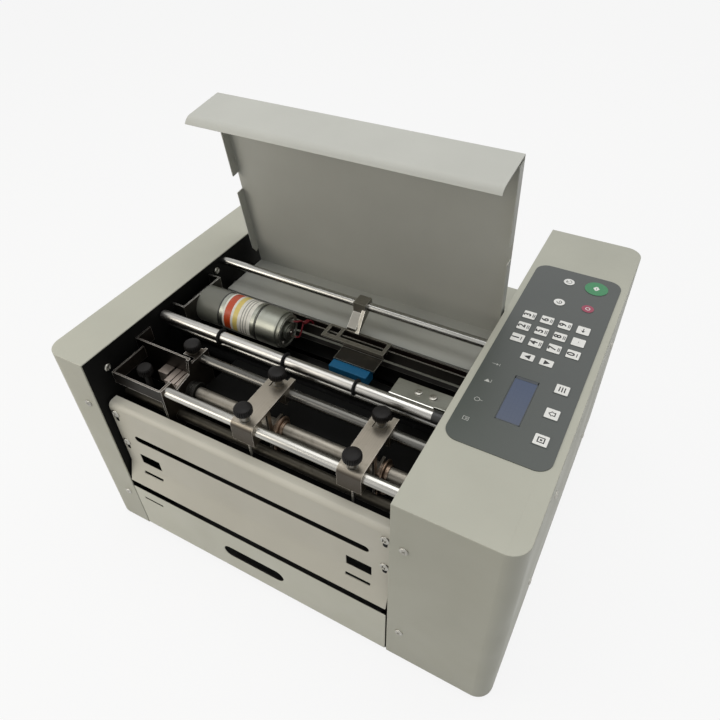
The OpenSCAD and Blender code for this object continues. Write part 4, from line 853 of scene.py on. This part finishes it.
def add_digit(bm, digit, size, cx, cy):
    """Raised digit for a reader at the right side of the machine."""
    curve = bpy.data.curves.new("legend", "FONT")
    curve.body = digit
    curve.size = size
    curve.align_x = "CENTER"
    curve.align_y = "CENTER"
    curve.extrude = INK / 2
    curve.offset = size * 0.03
    curve.resolution_u = 4
    holder = bpy.data.objects.new("legend", curve)
    scene.collection.objects.link(holder)
    bpy.context.view_layer.update()
    shown = holder.evaluated_get(bpy.context.evaluated_depsgraph_get())
    mesh = bpy.data.meshes.new_from_object(shown)
    start = len(bm.verts)
    bm.from_mesh(mesh)
    bm.verts.ensure_lookup_table()
    for v in bm.verts[start:]:
        u, w, h = v.co
        v.co = Vector((cx - w, cy + u, pad_top + INK / 2 + h))
    bpy.data.objects.remove(holder)
    bpy.data.meshes.remove(mesh)
    bpy.data.curves.remove(curve)


def bar(u0, v0, u1, v1):
    return [(u0, v0), (u1, v0), (u1, v1), (u0, v1)]


def ring_shapes(r, t, gap=0.0, steps=20):
    """Short quads along a ring of a radius and a thickness, open over a gap angle."""
    angles = [gap + (2 * math.pi - gap) * k / steps for k in range(steps + 1)]
    shapes = []
    for a, b in zip(angles, angles[1:]):
        corners = ((r, a), (r, b), (r - t, b), (r - t, a))
        shapes.append([(out * math.cos(w), out * math.sin(w)) for out, w in corners])
    return shapes


def digit_keys(pads, ink, marks):
    """Keypad: digits with small marks under them, a plain key and a key with an arrow."""
    digits = [["1", "2", "3"], ["4", "5", "6"], ["7", "8", "9"], ["0", "", ""]]
    arrow = [[(-3.4, 0), (-0.6, 2.2), (-0.6, -2.2)], bar(-0.7, -0.5, 3.2, 0.5)]
    for i, column in enumerate(digits):
        for j, digit in enumerate(column):
            cx, cy = key_x + i * pitch_x, key_y + j * pitch_y
            add_pad(pads, rounded_outline(cx, cy, 12.8, 12.4, 1.0))
            if digit:
                add_digit(ink, digit, 10.5, cx - 1.9, cy)
                for k in range(1 if digit in "10" else 2):
                    add_ink(marks, [bar(-2.8, -0.42, 2.8, 0.42)], cx + 3.7 + 1.5 * k, cy)
            elif j == 2:
                add_ink(ink, arrow, cx, cy)
            else:
                add_ink(marks, [bar(-1.2, -0.2, 1.2, 0.2)], cx, cy)


def arrow_keys(pads, ink):
    for i, tip in ((1, 1), (2, -1)):
        cx, cy = key_x + i * pitch_x - 1.0, key_y - 23.5
        add_pad(pads, rounded_outline(cx, cy, 12.8, 9.8, 1.0))
        add_ink(ink, [[(-3.3, -2.5 * tip), (3.3, -2.5 * tip), (0.0, 3.4 * tip)]], cx, cy)


def menu_keys(pads, ink):
    """Three square keys beside the display."""
    lines = [bar(-3.4, v - 0.5, 3.4, v + 0.5) for v in (2.5, 0.0, -2.5)]
    roof = [(-3.6, 0.0), (0.0, 3.4), (3.6, 0.0), (2.4, 0.0), (0.0, 2.2), (-2.4, 0.0)]
    house = [roof, bar(-2.4, -3.2, -1.4, 0.0), bar(1.4, -3.2, 2.4, 0.0), bar(-2.4, -3.2, 2.4, -2.3)]
    target = [bar(-3.3, -3.3, -2.3, 3.3), bar(2.3, -3.3, 3.3, 3.3), bar(-2.3, 2.3, 2.3, 3.3),
              bar(-2.3, -3.3, 2.3, -2.3), bar(-1.0, -1.0, 1.0, 1.0)]
    for i, icon in enumerate((target, house, lines)):
        cx, cy = lcd_x + 32.5, lcd_y - 36.8 + i * 33.8
        add_pad(pads, rounded_outline(cx, cy, 12.4, 12.4, 1.0))
        add_ink(ink, icon, cx, cy)


def small_round_keys(pads, ink):
    power = ring_shapes(3.2, 0.6, 0.9) + [bar(-0.3, 0.0, 0.3, 3.0)]
    reset = ring_shapes(2.9, 0.8, 1.5) + [bar(-1.6, -0.35, 1.6, 0.35)]
    for cy, icon in ((start_y - 0.5, power), (stop_y - 2.0, reset)):
        add_pad(pads, round_outline(small_x, cy, 5.9))
        add_ink(ink, icon, small_x, cy)


def printed_keys():
    """All white key areas and white marks as one piece, with their legends."""
    pads, ink, marks = bmesh.new(), bmesh.new(), bmesh.new()
    digit_keys(pads, ink, marks)
    arrow_keys(pads, ink)
    menu_keys(pads, ink)
    small_round_keys(pads, ink)
    leaf = [(4.0 * math.cos(a) ** 3, 3.6 * math.sin(a)) for a in turn(24)]
    add_ink(pads, [leaf], big_x, start_y, 1)
    add_ink(pads, ring_shapes(2.6, 0.8), big_x, stop_y, 1)
    piece("white_keys", pads, white_key, "housing")
    piece("key_legends", ink, legend_black, "housing")
    piece("key_small_marks", marks, legend_grey, "housing")


def start_and_stop():
    """Green start key with a fine line in its mark, and red stop key."""
    keys = (("start_key", start_y, 12.4, green_key), ("stop_key", stop_y, 6.4, red_key))
    for name, cy, r, material in keys:
        bm = bmesh.new()
        add_pad(bm, round_outline(big_x, cy, r, 48), 0.06)
        piece(name, bm, material, "housing")
    line = [(3.0 * math.sin(a), -0.25 * math.cos(a)) for a in turn(16)]
    bm = bmesh.new()
    add_ink(bm, [line], big_x, start_y, 2)
    piece("start_key_line", bm, green_key, "housing")


def side_icons():
    """Small icons beside the display, on the film itself, which lies below the raised key areas."""
    film = film_top - 0.4
    frame_sides = [bar(-3.4, -2.2, -3.0, 2.2), bar(1.8, -2.2, 2.2, 2.2), bar(-3.0, 1.8, 1.8, 2.2),
                   bar(-3.0, -2.2, 1.8, -1.8)]
    sheet = frame_sides + ring_shapes(1.0, 0.4)
    lens = ring_shapes(2.6, 0.45) + [bar(2.4, -0.2, 5.2, 0.2)]
    peak = [[(-2.8, -1.8), (2.8, -1.8), (0.0, 2.2)], bar(3.4, -1.8, 3.9, 2.2)]
    feed = [bar(-4.0, -0.2, 0.4, 0.2), [(0.4, -1.3), (2.6, 0.0), (0.4, 1.3)], bar(3.4, -1.6, 3.8, 1.6)]
    bm = bmesh.new()
    for icon, dy in ((sheet, -42.5), (lens, -15.8), (peak, 11.5), (feed, 36.5)):
        for shape in icon:
            add_slab(bm, [(lcd_x - 33.0 + u, lcd_y + dy + v) for u, v in shape], film, film + INK)
    piece("overlay_icons", bm, icon_white, "housing")


def display_surround():
    """Dark border of the display window, widest at the rear."""
    glass = mm_box("lcd_display")[1].z
    half_w, half_d = 11.3, 30.3
    x0, x1, y0, y1 = lcd_x - half_w, lcd_x + half_w, lcd_y - half_d, lcd_y + half_d
    strips = (((x0, y1 - 3.4), (x1, y1)), ((x0, y0), (x1, y0 + 1.0)),
              ((x0, y0), (x0 + 0.8, y1)), ((x1 - 0.8, y0), (x1, y1)))
    bm = bmesh.new()
    for a, b in strips:
        add_box(bm, (*a, glass), (*b, glass + 0.15))
    piece("display_surround", bm, display_frame, "housing")


printed_keys()
start_and_stop()
side_icons()
display_surround()


# Gear motor: label sleeve, rings, end cap and leads

motor_axis = axis_through("motor_can", "x")
can_r, can_end = (can_high.z - can_low.z) / 2, can_high.x
cap_face = can_end + 6.0


def motor_label():
    """Thin sleeve around the upper part of the can."""
    sleeve = [(label_from, 0.02), (label_from, 0.14), (label_to, 0.14), (label_to, 0.02)]
    rings = []
    for degrees in range(20, 198, 4):
        a = math.radians(degrees)
        out = Vector((0.0, math.cos(a), math.sin(a)))
        rings.append([motor_axis + Vector((x, 0.0, 0.0)) + out * (can_r + h) for x, h in sleeve])
    bm = bmesh.new()
    add_rings(bm, rings)
    piece("motor_label", bm, label_bands(), "housing", 30.0)


def motor_rings():
    """Dark rings at the can's joint with the gearbox and in its groove."""
    groove = can_low.x + 0.66 * (can_high.x - can_low.x)
    bm = bmesh.new()
    for x, r in ((can_low.x, can_r + 0.1), (groove, can_r - 0.4)):
        band = [(r, x + 0.1), (r + 0.1, x + 0.5), (r + 0.1, x + 1.5), (r, x + 1.9)]
        add_lathe(bm, [(can_r - 1.0, x + 0.1)] + band + [(can_r - 1.0, x + 1.9)], motor_axis, "x", 96)
    piece("motor_rings", bm, black_plastic, "housing")


def motor_end():
    """Rolled rim of the can, and the screws, boss and rings on its end cap."""
    rim = [(can_r - 1.4, can_end + 0.05), (can_r - 0.1, can_end + 0.05), (can_r - 0.1, can_end + 0.9),
           (can_r - 0.7, can_end + 1.6), (can_r - 1.8, can_end + 1.6)]
    bm = bmesh.new()
    add_lathe(bm, rim, motor_axis, "x", 96)
    piece("motor_end_rim", bm, can_metal, "housing")
    head = [(1.9, cap_face), (1.9, cap_face + 0.7), (1.4, cap_face + 1.1), (0.3, cap_face + 1.1)]
    boss = [(4.6, cap_face + 3.0), (4.6, cap_face + 3.7), (3.6, cap_face + 4.1), (1.6, cap_face + 4.1),
            (1.5, cap_face + 5.2), (0.2, cap_face + 5.2)]
    bm = bmesh.new()
    for degrees in (35, 145, 215, 325):
        a = math.radians(degrees)
        add_lathe(bm, head, motor_axis + 14.0 * Vector((0.0, math.cos(a), math.sin(a))), "x", 20)
    add_lathe(bm, boss, motor_axis, "x", 32)
    piece("motor_end_details", bm, zinc, "housing")
    outer = [(can_r - 3.2, cap_face), (can_r - 3.2, cap_face + 0.8), (can_r - 4.2, cap_face + 1.3),
             (can_r - 5.4, cap_face + 1.3), (can_r - 5.8, cap_face)]
    inner = [(9.5, cap_face), (9.5, cap_face + 1.6), (8.7, cap_face + 2.2), (7.1, cap_face + 2.2)]
    bm = bmesh.new()
    add_lathe(bm, outer, motor_axis, "x", 64)
    add_lathe(bm, inner, motor_axis, "x", 48)
    piece("motor_end_rings", bm, cap_metal, "housing")


def motor_leads():
    """Two leads that rise from the terminals over the beam's front wall and run along its floor."""
    low, high = mm_box("channel_beam")
    start, terminal = can_end + 12.0, motor_axis.y + 6.0
    wall, lead_r, gap = 1.5, 1.0, 0.3
    lane, floor_z = (low.y + high.y) / 2, low.z + wall + lead_r + gap
    half = (high.y - low.y) / 2 - wall - lead_r - gap
    bm = bmesh.new()
    for side in (-1, 1):
        z, y = motor_axis.z + side * 11.0, lane + side * half
        x = start + side
        route = [(start - 2.0, terminal, z), (start + 2.5, terminal + 2.0, z),
                 (start + 4.0, terminal + 7.0, (z + high.z) / 2 + 4.0),
                 (x + 4.5, low.y - 5.0, high.z + 3.5), (x + 5.0, low.y + wall + lead_r, high.z + 2.5),
                 (x + 6.0, y, high.z - 2.0), (x + 8.0, y, floor_z + 3.0),
                 (start + 14.0, y, floor_z), (high.x, y, floor_z)]
        add_tube(bm, smooth_path(route), lead_r)
    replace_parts(piece("motor_lead_wires", bm, wire_red, "housing", 60.0), "motor_leads")


motor_label()
motor_rings()
motor_end()
motor_leads()


# Camera at the photograph's viewing angle

def aim_camera():
    image_px, focal_px = 720.0, 616.96
    eye = at(508.24, -252.12, 686.64)
    azimuth, elevation, roll = math.radians(29.3245), math.radians(42.8434), math.radians(1.21)
    level = Vector((math.sin(azimuth), -math.cos(azimuth), 0.0))
    back = math.cos(elevation) * level + Vector((0.0, 0.0, math.sin(elevation)))
    side = Vector((math.cos(azimuth), math.sin(azimuth), 0.0))
    over = back.cross(side)
    right = math.cos(roll) * side - math.sin(roll) * over
    up = math.sin(roll) * side + math.cos(roll) * over
    camera = bpy.data.objects.new("camera", bpy.data.cameras.new("camera"))
    scene.collection.objects.link(camera)
    camera.data.sensor_width = 36.0
    camera.data.lens = camera.data.sensor_width * focal_px / image_px
    camera.data.clip_start = 0.01
    camera.matrix_world = Matrix.Translation(eye) @ Matrix((right, up, back)).transposed().to_4x4()
    return camera


scene.camera = aim_camera()


# Floor, light and background

def background_rays(tree):
    """Mask of the rays that see the background: from the camera, in reflections and through glass."""
    rays = tree.nodes.new("ShaderNodeLightPath")
    mask = rays.outputs["Is Camera Ray"]
    for kind in ("Is Glossy Ray", "Is Transmission Ray"):
        either = tree.nodes.new("ShaderNodeMath")
        either.operation = "MAXIMUM"
        tree.links.new(mask, either.inputs[0])
        tree.links.new(rays.outputs[kind], either.inputs[1])
        mask = either.outputs[0]
    return mask


def floor_finish():
    """Pale matt floor that looks nearly white and keeps the object's shadow."""
    g = Graph("floor")
    g.set(base_color=(0.62, 0.62, 0.61), roughness=0.9)
    glow = g.add("ShaderNodeEmission")
    glow.inputs["Strength"].default_value = 1.0
    blend = g.add("ShaderNodeMixShader")
    g.link(g.math("MULTIPLY", background_rays(g.tree), 0.88), blend.inputs["Fac"])
    g.link(g.shader.outputs["BSDF"], blend.inputs[1])
    g.link(glow.outputs["Emission"], blend.inputs[2])
    g.link(blend.outputs["Shader"], g.out.inputs["Surface"])
    return g.material


def add_floor():
    bm = bmesh.new()
    bmesh.ops.create_grid(bm, x_segments=1, y_segments=1, size=12.0)
    mesh = bpy.data.meshes.new("floor")
    bm.to_mesh(mesh)
    bm.free()
    mesh.materials.append(floor_finish())
    floor = bpy.data.objects.new("floor", mesh)
    scene.collection.objects.link(floor)


def studio_world():
    """Soft light from above that fades towards the ground, with a plain pale background."""
    world = bpy.data.worlds.new("studio")
    world.use_nodes = True
    tree = world.node_tree
    tree.nodes.clear()
    place = tree.nodes.new("ShaderNodeTexCoord")
    upright = tree.nodes.new("ShaderNodeMapping")
    upright.inputs["Rotation"].default_value = (0.0, math.radians(90.0), 0.0)
    tree.links.new(place.outputs["Generated"], upright.inputs["Vector"])
    sky = tree.nodes.new("ShaderNodeTexGradient")
    tree.links.new(upright.outputs["Vector"], sky.inputs["Vector"])
    shade = tree.nodes.new("ShaderNodeValToRGB")
    shade.color_ramp.elements[0].color = (0.16, 0.155, 0.15, 1.0)
    shade.color_ramp.elements[1].color = (1.0, 1.0, 0.99, 1.0)
    tree.links.new(sky.outputs["Fac"], shade.inputs["Fac"])
    soft = tree.nodes.new("ShaderNodeBackground")
    tree.links.new(shade.outputs["Color"], soft.inputs["Color"])
    soft.inputs["Strength"].default_value = 0.58
    pale = tree.nodes.new("ShaderNodeBackground")
    pale.inputs["Color"].default_value = (1.0, 1.0, 1.0, 1.0)
    pale.inputs["Strength"].default_value = 0.94
    choose = tree.nodes.new("ShaderNodeMixShader")
    tree.links.new(background_rays(tree), choose.inputs["Fac"])
    tree.links.new(soft.outputs["Background"], choose.inputs[1])
    tree.links.new(pale.outputs["Background"], choose.inputs[2])
    done = tree.nodes.new("ShaderNodeOutputWorld")
    tree.links.new(choose.outputs["Shader"], done.inputs["Surface"])
    return world


def lamp(name, place, target, size, power, colour=(1.0, 1.0, 1.0)):
    data = bpy.data.lights.new(name, "AREA")
    data.shape = "RECTANGLE"
    data.size, data.size_y = size
    data.energy = power
    data.color = colour
    obj = bpy.data.objects.new(name, data)
    obj.location = place
    obj.rotation_euler = (Vector(target) - Vector(place)).to_track_quat("-Z", "Y").to_euler()
    scene.collection.objects.link(obj)


add_floor()
scene.world = studio_world()
lamp("top", (0.0, 0.1, 2.2), (0.0, 0.0, 0.2), (1.8, 1.8), 19.0)
lamp("front_left", (-1.0, -1.1, 0.8), (-0.05, -0.1, 0.2), (0.9, 0.7), 6.2, (1.0, 0.93, 0.82))

scene.view_settings.view_transform = "Standard"
